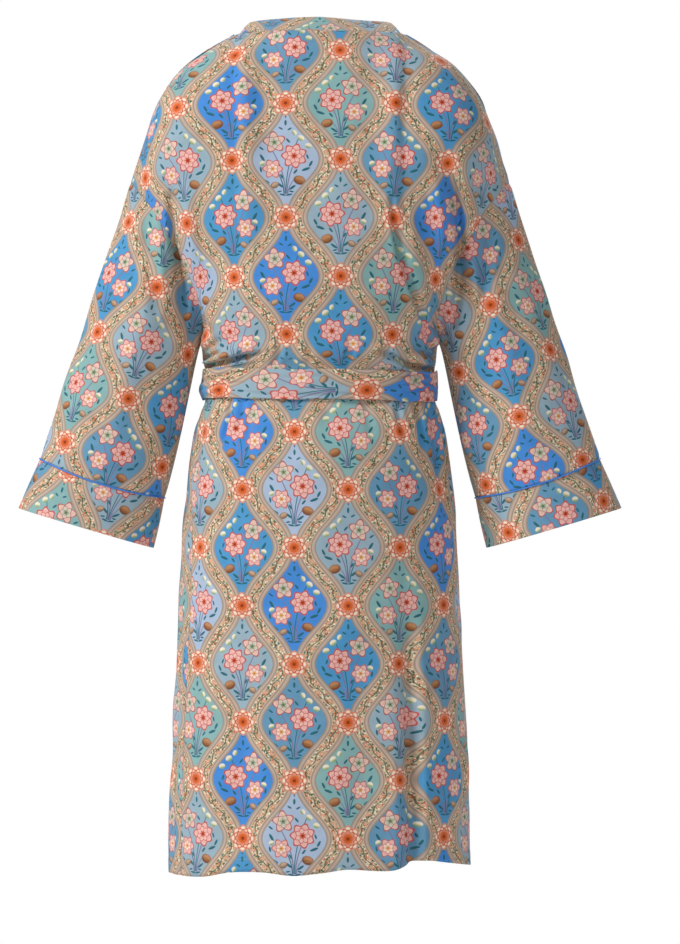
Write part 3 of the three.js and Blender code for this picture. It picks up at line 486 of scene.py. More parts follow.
def jersey(name, wash):
    """Jersey whose colour is the print, washed out towards white by a share on its reverse, with
    upright ribs of knitted loops drawn at twice their size so that they show."""
    material, tree = empty_material(name)
    colour = node(tree, GROUP, node_tree=ogee_print)
    cloth = node(tree, "ShaderNodeUVMap", uv_map="cloth")
    mottle = node(tree, "ShaderNodeTexNoise", cloth, None, 60.0, 3.0)
    mottle = node(tree, MAP, mottle, 0.3, 0.7, 0.95, 1.04)
    colour = node(tree, "ShaderNodeHueSaturation", 0.5, 1.0, mottle, 1.0, colour)
    if wash:
        colour = node(tree, MIX, wash, at={6: colour, 7: "#DDD8D0"}, **RGBA)
    scale = 1000 / KNIT_LOOP / 6.283  # The texture's bands turn once in two pi.
    ribs = node(tree, "ShaderNodeTexWave", cloth, scale, 1.5, 1.0, bands_direction="X", out=1)
    pile = node(tree, "ShaderNodeTexNoise", cloth, None, 900.0, 2.0)
    relief = node(tree, "MULTIPLY_ADD", ribs, 0.5, pile)
    bump = node(tree, "ShaderNodeBump", 0.16, 0.0004, at={"Height": relief})
    soft = {"Sheen Weight": VISCOSE_SHEEN, "Sheen Roughness": 0.5, "Specular IOR Level": 0.25}
    given = {"Normal": bump, **soft}
    shader = node(tree, "ShaderNodeBsdfPrincipled", colour, 0.0, VISCOSE_ROUGH, at=given)
    node(tree, "ShaderNodeOutputMaterial", shader)
    return material


printed_face = jersey("viscose jersey, printed face", 0.0)
printed_reverse = jersey("viscose jersey, reverse", 0.5)

# ---------------------------------------------------------------- back
# One panel from the hem to the neck and over the shoulders, cut with the grain upright. It is
# joined to both fronts at the sides and shoulders, to the sleeves and to the neckband.
# Thickness, heights of the hem, the underarm and the belt's top, and depth of the hem's turning.
CLOTH = 0.9
HEM = -1053
UNDERARM = -371
WAIST_TOP = -408
HEM_TURN = 18
# Power of the body's section, reach of the hem's waves up the skirt, shares of a panel's half
# at the neck's end and at the fronts' overlap, and how far the left front stands off the right.
SIDE_POWER = 2.15
HEM_FADE = 300
NECK_SHARE = 0.45
WRAP_SHARE = 0.2
WRAP_LIFT = 4.8


def table(names, *rows):
    """Named columns of a short table, as arrays. The first column is the key, in order."""
    columns = np.array(sorted(rows), dtype=float).T
    return dict(zip(names.split(), columns))


# Body by height: half width, depths behind and in front, and how far the left side seam turns.
BODY = table(
    "height half back front turn",
    (-1075, 192, 127, 133, 24),
    (-979, 191.5, 126, 131, 24),
    (-863, 187, 124, 128, 24),
    (-704, 179, 121, 123, 24),
    (-613, 174.5, 119, 119, 22),
    (-540, 168, 115, 114, 14),
    (-486, 160, 109, 107, 5),
    (-462, 151.5, 101, 100, 1),
    (-450, 146.5, 95, 95, 0),
    (-408, 146.5, 95, 95, 0),
    (-397, 148.5, 101, 101, 0),
    (-386, 149.5, 106, 105, 0),
    (-371, 151, 109, 107, 0),
)
# Shoulder's line from the neck out, by the share of its run.
SHOULDER = table(
    "share x z",
    (0, 110, 20),
    (0.17, 146, -2),
    (0.34, 179, -27),
    (0.52, 205, -62),
    (0.64, 216.5, -88),
    (0.86, 233, -141),
    (1, 243, -172),
)
# Pull of the threads above the underarm, by their share of the half: outwards, away from the
# body and upwards where they leave it, then the same where they reach the shoulder or neck.
BACK_RISE = table(
    "share out away up out_top in_top up_top",
    (0, 0, 70, 400, 0, 150, 330),
    (0.25, 0, 75, 400, 0, 210, 300),
    (0.45, 10, 95, 420, 0, 390, 110),
    (0.6, 20, 110, 440, 0, 400, 20),
    (0.75, 15, 150, 410, 10, 380, 0),
    (0.9, -10, 190, 290, 40, 330, 10),
    (1, -40, 200, 170, 60, 260, 40),
)
FRONT_RISE = table(
    "share out away up out_top in_top up_top",
    (0, 0, 60, 300, 0, 60, 200),
    (0.25, 0, 80, 360, 0, 200, 220),
    (0.45, 10, 100, 420, 0, 390, 110),
    (0.6, 20, 120, 440, 0, 400, 20),
    (0.75, 15, 150, 410, 10, 380, 0),
    (0.9, -10, 190, 290, 40, 330, 10),
    (1, -40, 200, 170, 60, 260, 40),
)
# Neck lines by the same share, and the hem's waves by the angle from the centre back.
BACK_NECK = table(
    "share x y z", (0, 0, -62, 20), (0.18, 47, -56, 20.5), (0.36, 93, -30, 21), (0.45, 110, 0, 20)
)
FRONT_NECK = table(
    "share x y z", (0, 0, 75, -45), (0.18, 47, 66, -30), (0.36, 93, 34, 2), (0.45, 110, 0, 20)
)
HEM_RISE = table(
    "angle rise",
    (-180, 10),
    (-120, 4),
    (-66, 1),
    (-48, 1.6),
    (-34, 8.2),
    (-20, 8.9),
    (-9, 5.1),
    (0, 8.1),
    (9, 12.7),
    (20, 10.8),
    (27, 11),
    (32, 15.3),
    (37, 21.6),
    (45, 22),
    (54, 19),
    (70, 14.4),
    (90, 11),
    (140, 14),
    (180, 10),
)
# Skirt folds: angle from the centre back towards the wearer's right, heights of both ends,
# half breadth in degrees, depth in millimetres (a trough is positive, a ridge negative).
SKIRT_FOLDS = [
    (36, -640, -1180, 5, 5),
    (37, -720, -1220, 2.2, 6.5),
    (41.5, -740, -1220, 2.4, -2.5),
    (-53, -440, -540, 5, 5),
    (66, -440, -600, 5, 4),
    (-14, -440, -560, 6, 2.5),
    (16, -700, -1120, 8, 3),
    (-30, -760, -1120, 7, 3.5),
    (132, -600, -1120, 7, 5),
    (-128, -560, -1120, 7, 5),
    (-152, -440, -600, 6, 3),
    (148, -440, -560, 6, 3),
    (44, -700, -1150, 3.5, -3),
    (29, -800, -1150, 3, -2),
    (52, -445, -530, 2.4, 2.2),
    (22, -445, -505, 2.2, 1.6),
    (3, -445, -500, 2.2, 1.4),
    (-33, -445, -520, 2.4, 2.0),
    (80, -445, -640, 3, 2.2),
    (-70, -445, -640, 3, 2.4),
    (-78, -700, -1120, 4, 2.6),
    (74, -760, -1120, 4, 2.4),
    (118, -445, -560, 3, 2.4),
    (-112, -445, -560, 3, 2.4),
    (104, -640, -1100, 5, 3),
    (-100, -640, -1100, 5, 3),
]
# Creases of the back above and below the belt: points (x, z) across and up, then the half
# breadth and the depth. The cloth swells by a share of the depth on both sides.
BACK_CREASES = [
    ([(-168, -412), (-140, -404), (-112, -398), (-78, -390)], 3.2, 6.5),
    ([(-172, -398), (-146, -394), (-126, -388)], 3.0, 4.0),
    ([(-132, -394), (-114, -386), (-90, -380)], 7, -4.2),
    ([(-150, -392), (-140, -380), (-128, -372)], 4, 3.4),
    ([(76, -386), (96, -395), (114, -405), (166, -414)], 3.2, 6.5),
    ([(120, -384), (140, -392), (168, -398)], 3.0, 3.6),
    ([(90, -196), (95, -226), (101, -262), (118, -307), (128, -338), (142, -376)], 3.6, 6.0),
    ([(112, -220), (120, -270), (136, -320)], 9, -4.0),
    ([(96, -384), (116, -392), (138, -397)], 7, -4.2),
    ([(140, -376), (154, -390)], 4, 4.5),
    ([(168, -318), (152, -346), (130, -368)], 7, 4.6),
    ([(-168, -314), (-154, -345), (-138, -368)], 7, 4.4),
    ([(-60, -406), (-52, -390), (-50, -372)], 4, 2.4),
    ([(-18, -406), (-12, -390), (-16, -374)], 4, 1.8),
    ([(30, -406), (40, -388), (36, -370)], 4, 2.2),
    ([(60, -406), (72, -392), (86, -382)], 4, 2.2),
    ([(-115, -448), (-119, -472), (-127, -504)], 3.4, 4.6),
    ([(-96, -448), (-100, -470), (-104, -492)], 3.4, 2.4),
    ([(96, -448), (100, -474), (108, -500)], 3.4, 2.6),
    ([(122, -448), (126, -480), (130, -520)], 3.4, 3.0),
]
ARMPIT_CREASES = [
    ([(-189, -178), (-187, -201), (-183, -259), (-177, -294), (-170, -345)], 13, 8),
    ([(-188, -190), (-186, -215), (-182, -262), (-177, -300), (-172, -350)], 5, 9),
    ([(-172, -190), (-167, -240), (-160, -290)], 9, -5),
    ([(-222, -190), (-216, -260), (-206, -330)], 8, 6),
    ([(158, -142), (168, -184), (176, -221), (178, -280), (169, -345)], 13, 8),
    ([(166, -170), (173, -205), (177, -240), (178, -285), (170, -350)], 5, 10),
    ([(150, -170), (158, -220), (160, -280)], 9, -5),
    ([(204, -170), (212, -240), (208, -320)], 8, 6),
    ([(186, -240), (196, -290), (200, -350)], 6, -4),
]
# Ripples of the cloth: turn across and up in each RIPPLE millimetres, and start.
RIPPLE = 21.0
RIPPLES = [
    (1.0, 0.21, 0.0), (-0.63, 0.78, 1.3), (0.34, -1.1, 2.1), (1.7, 0.5, 4.0), (-1.3, 1.6, 0.7)
]


def smooth(t):
    """Rises from 0 to 1 as t does, level at both ends: three t squared less two t cubed."""
    t = np.clip(t, 0, 1)
    return t * t * (3 - 2 * t)


def cubic(a, leave, b, arrive, t):
    """Cubic from a to b that leaves and arrives with the given slopes as t goes from 0 to 1."""
    t2, t3 = t * t, t * t * t
    start = a * (2 * t3 - 3 * t2 + 1) + leave * (t3 - 2 * t2 + t)
    return start + b * (3 * t2 - 2 * t3) + arrive * (t3 - t2)


def read(rows, column, at):
    """Smooth curve through a column: a cubic per span, its slopes from the rows on both sides."""
    key = next(iter(rows.values()))
    value = rows[column]
    count = len(key)
    before = np.maximum(np.arange(count) - 1, 0)
    after = np.minimum(np.arange(count) + 1, count - 1)
    slope = (value[after] - value[before]) / (key[after] - key[before])
    i = np.clip(np.searchsorted(key, at) - 1, 0, count - 2)
    width = key[i + 1] - key[i]
    t = np.clip((at - key[i]) / width, 0, 1)
    return cubic(value[i], slope[i] * width, value[i + 1], slope[i + 1] * width, t)


def body(angle, height):
    """Section of the body: x is the half width times a power of the sine of the angle from the
    centre back, y the depth times the same power of its cosine."""
    sine, cosine = np.sin(np.radians(angle)), np.cos(np.radians(angle))
    depth = np.where(cosine > 0, read(BODY, "back", height), read(BODY, "front", height))
    power = 2 / SIDE_POWER
    x = read(BODY, "half", height) * np.sign(sine) * np.abs(sine) ** power
    y = -depth * np.sign(cosine) * np.abs(cosine) ** power
    return np.stack(np.broadcast_arrays(x, y, height), -1)


def top(share, neck):
    """Where a lengthwise thread ends: on the neck line near the centre, else on the shoulder."""
    s, side = np.abs(share), np.where(share < 0, -1, 1)
    along = (s - NECK_SHARE) / (1 - NECK_SHARE)
    at_neck = s <= NECK_SHARE
    x = np.where(at_neck, read(neck, "x", s), read(SHOULDER, "x", along))
    y = np.where(at_neck, read(neck, "y", s), 0)
    z = np.where(at_neck, read(neck, "z", s), read(SHOULDER, "z", along))
    return np.stack([side * x, y, z], -1)


def upper(share, rise, facing):
    """Thread above the underarm: a cubic from the body's section to the top, leaving outwards
    and arriving inwards over the shoulder. facing is 1 for a front and -1 for the back."""
    s, side = np.abs(share), np.where(share < 0, -1, 1)
    rows = FRONT_RISE if facing > 0 else BACK_RISE
    start = body(180 - 90 * share if facing > 0 else 90 * share, np.full_like(share, UNDERARM))
    end = top(share, FRONT_NECK if facing > 0 else BACK_NECK)
    slopes = {name: read(rows, name, s) for name in list(rows)[1:]}
    leave = [side * slopes["out"], facing * slopes["away"], slopes["up"]]
    arrive = [side * slopes["out_top"], -facing * slopes["in_top"], slopes["up_top"]]
    return cubic(start, np.stack(leave, -1), end, np.stack(arrive, -1), rise[..., None])


def panel(share, level, facing):
    """Point and angle of a body panel. level runs from 0 at the hem to 1 at the underarm, then
    to 2 at the neck and shoulder. The left side seam turns to the back below the belt."""
    height = HEM + (UNDERARM - HEM) * np.clip(level, 0, 1)
    turn = np.where(share < 0, read(BODY, "turn", height), 0)
    angle = 180 - share * (90 + turn) if facing > 0 else share * (90 - turn)
    low = body(angle, height)
    turned = (angle + 180) % 360 - 180
    low[..., 2] += read(HEM_RISE, "rise", turned) * smooth(1 - (height - HEM) / HEM_FADE)
    high = upper(share, np.clip(level - 1, 0, 1), facing)
    return np.where((level > 1)[..., None], high, low), turned, height


def normals(points, facing_out):
    """Unit directions off a grid: the cross product of its steps along rows and columns, turned
    to agree with a direction given for the middle of the grid."""
    across = np.gradient(points, axis=1)
    along = np.gradient(points, axis=0)
    normal = np.cross(across, along)
    normal /= np.linalg.norm(normal, axis=-1, keepdims=True) + 1e-9
    middle = normal[normal.shape[0] // 2, normal.shape[1] // 2]
    return normal * (1 if middle @ np.array(facing_out) > 0 else -1)


def crease(x, z, path, breadth, depth):
    """Depth of one crease: a bell across the distance to its path, fading at both ends, with a
    low swell on either side."""
    points = np.array(path, dtype=float)
    steps = np.linalg.norm(np.diff(points, axis=0), axis=1)
    starts = np.concatenate([[0], np.cumsum(steps)])
    nearest = np.full(x.shape, 1e9)
    place = np.zeros(x.shape)
    for i, (a, b) in enumerate(zip(points[:-1], points[1:])):
        step = b - a
        t = np.clip(((x - a[0]) * step[0] + (z - a[1]) * step[1]) / (step @ step), 0, 1)
        gap = np.hypot(x - a[0] - t * step[0], z - a[1] - t * step[1])
        closer = gap < nearest
        nearest = np.where(closer, gap, nearest)
        place = np.where(closer, starts[i] + t * steps[i], place)
    along = place / starts[-1]
    strength = 0.25 + 0.75 * np.sin(np.pi * np.clip(along, 0.02, 0.98)) ** 0.6
    off = nearest / breadth
    return depth * strength * (np.exp(-(off**2)) - 0.35 * np.exp(-((off - 1.9) ** 2) * 1.6))


def creases(points, rows):
    """Depth of a list of creases at points of the cloth: the sum of them all."""
    return sum(crease(points[..., 0], points[..., 2], *row) for row in rows)


def armpit(points):
    """Cloth pressed forwards by the creases at the armpits, all of it on the back and none of it
    on the front, so that a crease runs on over the sleeve's seam."""
    behind = smooth((-5 - points[..., 1]) / 25)
    pressed = points.copy()
    pressed[..., 1] += creases(points, ARMPIT_CREASES) * behind
    return pressed


def skirt_fold(angle, height):
    """Depth of the long folds: a bell across the angle, a half sine along the height."""
    depth = np.zeros(np.broadcast_shapes(angle.shape, height.shape))
    for centre, start, end, breadth, deep in SKIRT_FOLDS:
        off = ((angle - centre + 540) % 360 - 180) / breadth
        along = np.clip((start - height) / (start - end), 0, 1)
        depth += deep * np.exp(-(off**2)) * np.sin(np.pi * along**0.8)
    return depth


def ripple(uv, size):
    """Small unevenness of worn jersey: a sum of slow sines in unlike directions."""
    u, v = uv[..., 0], uv[..., 1]
    total = sum(np.sin((a * u + b * v) / RIPPLE + c) / (1 + abs(a)) for a, b, c in RIPPLES)
    return size * total


def transform(count):
    """Cosine transform of a row of values, as a matrix whose rows are waves of unit length."""
    waves = np.cos(np.pi * np.outer(np.arange(count), np.arange(count) + 0.5) / count)
    waves[0] *= np.sqrt(0.5)
    return waves * np.sqrt(2 / count)


def flatten(points, passes=24):
    """Flat millimetres of a grid of cloth. Each cell's two edges are laid flat and turned to fit
    best, and the flat grid is the least-squares fit to all of them, solved by cosine transform."""
    rows, columns = points.shape[:2]
    a = np.diff(points, axis=1)[:-1]
    b = np.diff(points, axis=0)[:, :-1]
    wide = np.linalg.norm(a, axis=-1)
    shear = np.sum(a * b, axis=-1) / wide
    tall = np.sqrt(np.maximum(np.sum(b * b, axis=-1) - shear**2, 1e-9))
    edge_a = wide + 0j
    edge_b = shear + 1j * tall
    turn = np.conj(edge_b / np.abs(edge_b)) * 1j
    down, side = transform(rows), transform(columns)
    scale_down = 2 - 2 * np.cos(np.pi * np.arange(rows) / rows)
    scale = scale_down[:, None] + 2 - 2 * np.cos(np.pi * np.arange(columns) / columns)
    scale[0, 0] = 1
    for _ in range(passes):
        goal_a = np.pad(edge_a * turn, ((0, 1), (0, 0)), mode="edge")
        goal_b = np.pad(edge_b * turn, ((0, 0), (0, 1)), mode="edge")
        pull = np.zeros((rows, columns), complex)
        pull[:, :-1] -= goal_a
        pull[:, 1:] += goal_a
        pull[:-1] -= goal_b
        pull[1:] += goal_b
        spectrum = down @ pull @ side.T / scale
        spectrum[0, 0] = 0
        flat = down.T @ spectrum @ side
        got_a = np.diff(flat, axis=1)[:-1]
        got_b = np.diff(flat, axis=0)[:, :-1]
        turn = got_a * np.conj(edge_a) + got_b * np.conj(edge_b)
        turn /= np.abs(turn) + 1e-9
    return np.stack([flat.real, flat.imag], -1)


def upright(flat, run):
    """Flat cloth turned about its corner until the given run of it points along its length."""
    turn = np.arctan2(run[0], run[1])
    return flat @ np.array([[np.cos(turn), np.sin(turn)], [-np.sin(turn), np.cos(turn)]])


def arc(points):
    """Length along each row of a grid, from its first column."""
    steps = np.linalg.norm(np.diff(points, axis=1), axis=-1)
    return np.concatenate([np.zeros((len(points), 1)), np.cumsum(steps, axis=1)], axis=1)


def shell(name, points, uv, facing_out, thickness, closed=False, reverse=True):
    """A sheet from a grid of points in millimetres, its cloth place as a UV map in metres, faces
    turned outwards, with a live thickness that goes inwards."""
    rows, columns = points.shape[:2]
    kept = columns - 1 if closed else columns
    r, c = np.meshgrid(np.arange(rows - 1), np.arange(columns - 1), indexing="ij")
    corners = [(r, c), (r, c + 1), (r + 1, c + 1), (r + 1, c)]
    vertices = np.stack([(i * kept + j % kept).ravel() for i, j in corners], -1)
    places = np.stack([(i * columns + j).ravel() for i, j in corners], -1)
    across = points[rows // 2, columns // 2 + 1] - points[rows // 2, columns // 2]
    along = points[rows // 2 + 1, columns // 2] - points[rows // 2, columns // 2]
    if np.cross(across, along) @ np.array(facing_out, dtype=float) < 0:
        vertices, places = vertices[:, ::-1], places[:, ::-1]
    mesh = bpy.data.meshes.new(name)
    mesh.vertices.add(rows * kept)
    mesh.vertices.foreach_set("co", (points[:, :kept].reshape(-1) / 1000).astype(np.float32))
    mesh.loops.add(vertices.size)
    mesh.loops.foreach_set("vertex_index", vertices.reshape(-1).astype(np.int32))
    mesh.polygons.add(len(vertices))
    mesh.polygons.foreach_set("loop_start", np.arange(0, vertices.size, 4, dtype=np.int32))
    mesh.polygons.foreach_set("use_smooth", np.ones(len(vertices), bool))
    mesh.update(calc_edges=True)
    layer = mesh.uv_layers.new(name="cloth")
    flat = uv.reshape(-1, 2)[places.reshape(-1)] / 1000
    layer.data.foreach_set("uv", flat.reshape(-1).astype(np.float32))
    mesh.materials.append(printed_face)
    mesh.materials.append(printed_reverse)
    mesh.validate()
    made = add(f"{name}_cloth", mesh)
    if thickness:
        wall = made.modifiers.new("cloth", "SOLIDIFY")
        wall.thickness = thickness / 1000
        wall.offset = -1
        wall.material_offset = 1 if reverse else 0
    return made


def levels(below, above):
    """Levels of a panel's rows: wide steps up the skirt, close ones over the waist to the
    underarm, even ones above."""
    low = np.interp(np.linspace(0, 1, below, endpoint=False), [0, 0.56, 1], [0, 0.78, 1])
    return np.concatenate([low, np.linspace(1, 2, above)])


BACK_COLUMNS = 136
LOWER_ROWS = 178
UPPER_ROWS = 104
FOLD_GAIN = 1.5
# Near a panel's seam the folds fade out over one length and the ripples over another, and the
# cloth is pulled in by the tuck. A panel's half is about this broad below and above the underarm.
FOLD_FADE = 14
RIPPLE_FADE = 10
RIPPLE_HEIGHT = 0.9
SEAM_TUCK = 0.6
SEAM_REACH = 3.0
PANEL_HALF = (180, 260)
HEM_PRESS = 0.5
# The print moves across and down at the waist, where the cloth is gathered under the belt: from
# the first number to the second, and down by the third, from two heights over one length.
PRINT_ON_TORSO = 26
PRINT_ON_SKIRT = 36
PRINT_TUCKED = 24
ACROSS_FROM = -395
DOWN_FROM = -380
GATHER = 70


def cloth_places(points, level, grain, start):
    """Cloth millimetres of a panel: below the underarm the length round the body from the grain's
    column and the height, above it the flattened cloth, moved to fit the row where both meet."""
    height = points[..., 2]
    across = start + (PRINT_ON_SKIRT - PRINT_ON_TORSO) * smooth((ACROSS_FROM - height) / GATHER)
    rounds = arc(points)
    u = rounds - rounds[:, grain : grain + 1] - across
    uv = np.stack([u, height - PRINT_TUCKED * smooth((DOWN_FROM - height) / GATHER)], -1)
    first = int(np.argmax(level >= 1))
    flat = flatten(points[first:])
    flat = upright(flat, flat[12, grain] - flat[0, grain])
    flat += uv[first, grain] - flat[0, grain]
    fade = 1 - smooth((level[first:] - 1) / 0.6)
    uv[first:] = flat + (uv[first] - flat[0]) * fade[:, None, None]
    return uv


def worn(points, angle, height, level, seam, uv, rows):
    """Depth of a panel's relief: its long folds and creases, the tuck along the seam at a share
    of the breadth, the ripples, and the hem's turning with a groove along its stitches."""
    gap = seam * np.where(level <= 1, *PANEL_HALF)
    folds = np.where(level <= 1, skirt_fold(angle, height), 0) + creases(points, rows)
    folds = FOLD_GAIN * folds
    depth = folds * smooth(gap / FOLD_FADE) + SEAM_TUCK * np.exp(-((gap / SEAM_REACH) ** 2))
    depth += ripple(uv, RIPPLE_HEIGHT) * smooth(gap / RIPPLE_FADE)
    up = points[..., 2] - points[:1, :, 2]
    groove = np.exp(-(((up - HEM_TURN) / 1.6) ** 2))
    return depth - HEM_PRESS * (smooth((HEM_TURN - up) / 2) - groove)


back_share = np.linspace(-1, 1, BACK_COLUMNS + 1)
panel_levels = levels(LOWER_ROWS, UPPER_ROWS)
share, level = np.meshgrid(back_share, panel_levels)
base, angle, height = panel(share, level, -1)
back_out = normals(base, (0, -1, 0))
back_uv = cloth_places(base, panel_levels, BACK_COLUMNS // 2, PRINT_ON_TORSO)
depth = worn(base, angle, height, level, 1 - np.abs(share), back_uv, BACK_CREASES)
back_points = armpit(base) - back_out * depth[..., None]
back = shell("back", back_points, back_uv, (0, -1, 0), CLOTH)
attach(back, "root")
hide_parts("back")

# ---------------------------------------------------------------- fronts
# Two panels that lap across the body, the wearer's left over the right, each joined to the back
# at its side and shoulder and edged by the neckband from the hem up to the neck.
FRONT_COLUMNS = 88
FRONT_CREASES = [
    ([(-60, -404), (-48, -385), (-30, -350)], 7, 3.0),
    ([(-110, -404), (-104, -380), (-96, -350)], 7, 3.0),
    ([(24, -404), (10, -380), (-6, -340)], 7, 2.5),
    ([(66, -404), (60, -380), (50, -350)], 7, 3.0),
    ([(112, -404), (108, -380), (98, -345)], 7, 3.0),
    ([(-172, -170), (-170, -230), (-160, -300), (-152, -350)], 12, 7.0),
    ([(160, -160), (166, -220), (164, -300), (152, -350)], 12, 7.0),
    ([(-90, -120), (-84, -200), (-70, -280)], 14, 3.0),
    ([(96, -120), (88, -210), (74, -290)], 14, 3.0),
]
FRONT_PRINT = {"front_left": -30.0, "front_right": 22.0}


def edge_share(level):
    """Where a front's edge lies: past the centre below the underarm, out to the neck point."""
    return WRAP_SHARE - (NECK_SHARE + WRAP_SHARE) * np.clip(level - 1, 0, 1)


fronts = {}
for name, side in (("front_left", -1), ("front_right", 1)):
    across, level = np.meshgrid(np.linspace(0, 1, FRONT_COLUMNS + 1), panel_levels)
    share = side * (1 - across) - side * edge_share(level) * across
    base, angle, height = panel(share, level, 1)
    out = normals(base, (0, 1, 0))
    uv = cloth_places(base, panel_levels, 0, FRONT_PRINT[name])
    if side > 0:
        uv[..., 0] *= -1
    deep = worn(base, angle, height, level, np.abs(share[:, :1] - share), uv, FRONT_CREASES)
    # The left front lies over the right one, and stands off it by the wrap's lift.
    lift = WRAP_LIFT * smooth((1 - side * share) / 0.55) * (1 - smooth((level - 1.45) / 0.4))
    points = base + out * ((lift if side < 0 else 0) - deep)[..., None]
    front = shell(name, points, uv, (0, 1, 0), CLOTH)
    fronts[name] = {"side": side, "points": points, "out": out}
    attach(front, "root")
    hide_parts(name)

# ---------------------------------------------------------------- neckband
# One long strip of the print, folded double, that edges both fronts from the hem up and stands
# behind the neck, leaning forward. Its raw edges lie inside the seam.
BAND_WIDTH = 38
BAND_CLOTH = 1.8
BAND_COLUMNS = 10
BAND_TURN_FROM = 0.66
BAND_SLANT = 0.93
BAND_BEHIND = np.array([0, 0.84, 0.54])
BAND_BESIDE = np.array([0.3, 0.85, 0.43])
BAND_LEVELS = 250
BAND_TOP_LEVEL = 1.93
BAND_PRINT = -58
BAND_CROWN = 0.7


def stand(place):
    """Direction of the band off its seam: place is 0 behind the neck and 1 beside it."""
    beside = np.abs(np.sin(np.radians(90 * place)))[..., None]
    mixed = BAND_BEHIND * (1 - beside) + BAND_BESIDE * beside
    mixed = mixed * np.stack([-np.sign(place), np.ones_like(place), np.ones_like(place)], -1)
    return mixed / np.linalg.norm(mixed, axis=-1, keepdims=True)


def sample(at, run, points):
    """Points between the points of a path, by the length or the level along it."""
    return np.stack([np.interp(at, run, points[:, i]) for i in range(3)], -1)


def band_beside(front):
    """Band along a front's edge: laid on across the front, turning upright near the neck."""
    rows = np.linspace(0, BAND_TOP_LEVEL, BAND_LEVELS)
    edge = sample(rows, panel_levels, front["points"][:, -1])
    towards = -front["side"]
    share = towards * edge_share(rows)
    base = panel(share, rows, 1)[0]
    probe = panel(share + 0.02 * towards, rows, 1)[0]
    reach = np.linalg.norm(probe - base, axis=-1) / 0.02 * np.where(rows > 1, BAND_SLANT, 1)
    width = np.linspace(0, BAND_WIDTH, BAND_COLUMNS + 1)
    at = share[:, None] + towards * width / reach[:, None]
    laid = panel(at, np.broadcast_to(rows[:, None], at.shape), 1)[0] + (edge - base)[:, None]
    away = stand(np.full(rows.shape, front["side"], float))
    raised = edge[:, None] + away[:, None] * width[:, None]
    turn = smooth((rows - 1 - BAND_TURN_FROM) / (1 - BAND_TURN_FROM))[:, None, None]
    return laid * (1 - turn) + raised * turn


def folded_edge(band, radius):
    """Rounds the fold along a doubled band's edge with a live bevel, by a radius in metres."""
    fold = band.modifiers.new("folded edge", "BEVEL")
    fold.width = radius
    fold.segments = 2
    fold.limit_method = "ANGLE"
    fold.angle_limit = np.radians(60)


behind = np.abs(back_share) <= NECK_SHARE + 1e-6
neck_line = back_points[-1, behind]
width = np.linspace(0, BAND_WIDTH, BAND_COLUMNS + 1)
behind_neck = neck_line[:, None] + stand(back_share[behind] / NECK_SHARE)[:, None] * width[:, None]
left_band, right_band = (band_beside(fronts[name]) for name in ("front_left", "front_right"))
band_points = np.concatenate([left_band, behind_neck, right_band[::-1]])
for _ in range(3):
    soft = (band_points[:-2] + 2 * band_points[1:-1] + band_points[2:]) / 4
    band_points[1:-1, 1:] = soft[:, 1:]
band_along = arc(band_points[:, 0][None])[0]
band_middle = band_along[len(left_band) + behind.sum() // 2]
band_uv = [band_along[:, None] - band_middle, width + BAND_PRINT]
band_uv = np.stack(np.broadcast_arrays(*band_uv), -1)
band_out = normals(band_points, (0, -1, 0))
crown = BAND_CROWN * np.sin(np.pi * width / BAND_WIDTH) + ripple(band_uv, 0.25)
points = band_points + band_out * crown[..., None]
neckband = shell("neckband", points, band_uv, (0, -1, 0), BAND_CLOTH, reverse=False)
folded_edge(neckband, 0.0007)
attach(neckband, "root")
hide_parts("neckband")

# ---------------------------------------------------------------- sleeves
# A wide tapered tube each, cut in one piece with its seam under the arm, set into the dropped
# armhole and hanging outwards to the cuff.
# Rings of a sleeve at the cuff's seam and at the mouth: outer point, inner point, half depth.
CUFF_SEAM = (358, -523, 199, -573, 56)
SLEEVE_MOUTH = (385, -586, 212, -637, 61)
# Pull of the cloth at both ends of its run: at the armhole by the share round from the shoulder
# to the underarm, and at the cuff. The sleeve starts a little way under the panels' edges.
SLEEVE_PULL = 265
CUFF_SAG = 7
SEAM_UNDER = 2.2
SEAM_EASE = 0.3
SLEEVE_REACH = table("share reach", (0, 300), (0.25, 200), (0.5, 130), (0.75, 75), (1, 26))
SLEEVE_COLUMNS = 128
SLEEVE_ROWS = 104
SLEEVE_SPAN = 180 / 11
SLEEVE_RIPPLE = 0.8
SLEEVE_PRINT = {"left": (79, 129), "right": (121, 80)}
# Folds along a sleeve: turn round it in degrees (0 outer side, 90 back, 180 inner side), start
# and end as shares of its length, half breadth in degrees, depth in millimetres.
SLEEVE_FOLDS = {
    "left": [
        (62, 0.02, 0.85, 13, 3.2),
        (118, 0.0, 0.6, 11, 3.0),
        (92, 0.25, 1.05, 12, -2.4),
        (150, 0.0, 0.5, 12, 4.0),
        (28, 0.2, 1.0, 12, 2.0),
        (250, 0.05, 0.9, 16, 4.0),
        (292, 0.1, 1.0, 14, 3.0),
        (210, 0.0, 0.6, 14, 3.5),
    ],
    "right": [
        (70, 0.02, 0.8, 13, 3.0),
        (112, 0.0, 0.7, 11, 3.4),
        (140, 0.2, 1.0, 12, 2.2),
        (90, 0.3, 1.05, 11, -2.2),
        (160, 0.0, 0.5, 11, 4.0),
        (32, 0.15, 0.9, 12, 2.0),
        (246, 0.05, 0.9, 16, 4.0),
        (300, 0.1, 1.0, 14, 3.0),
        (206, 0.0, 0.6, 14, 3.5),
    ],
}


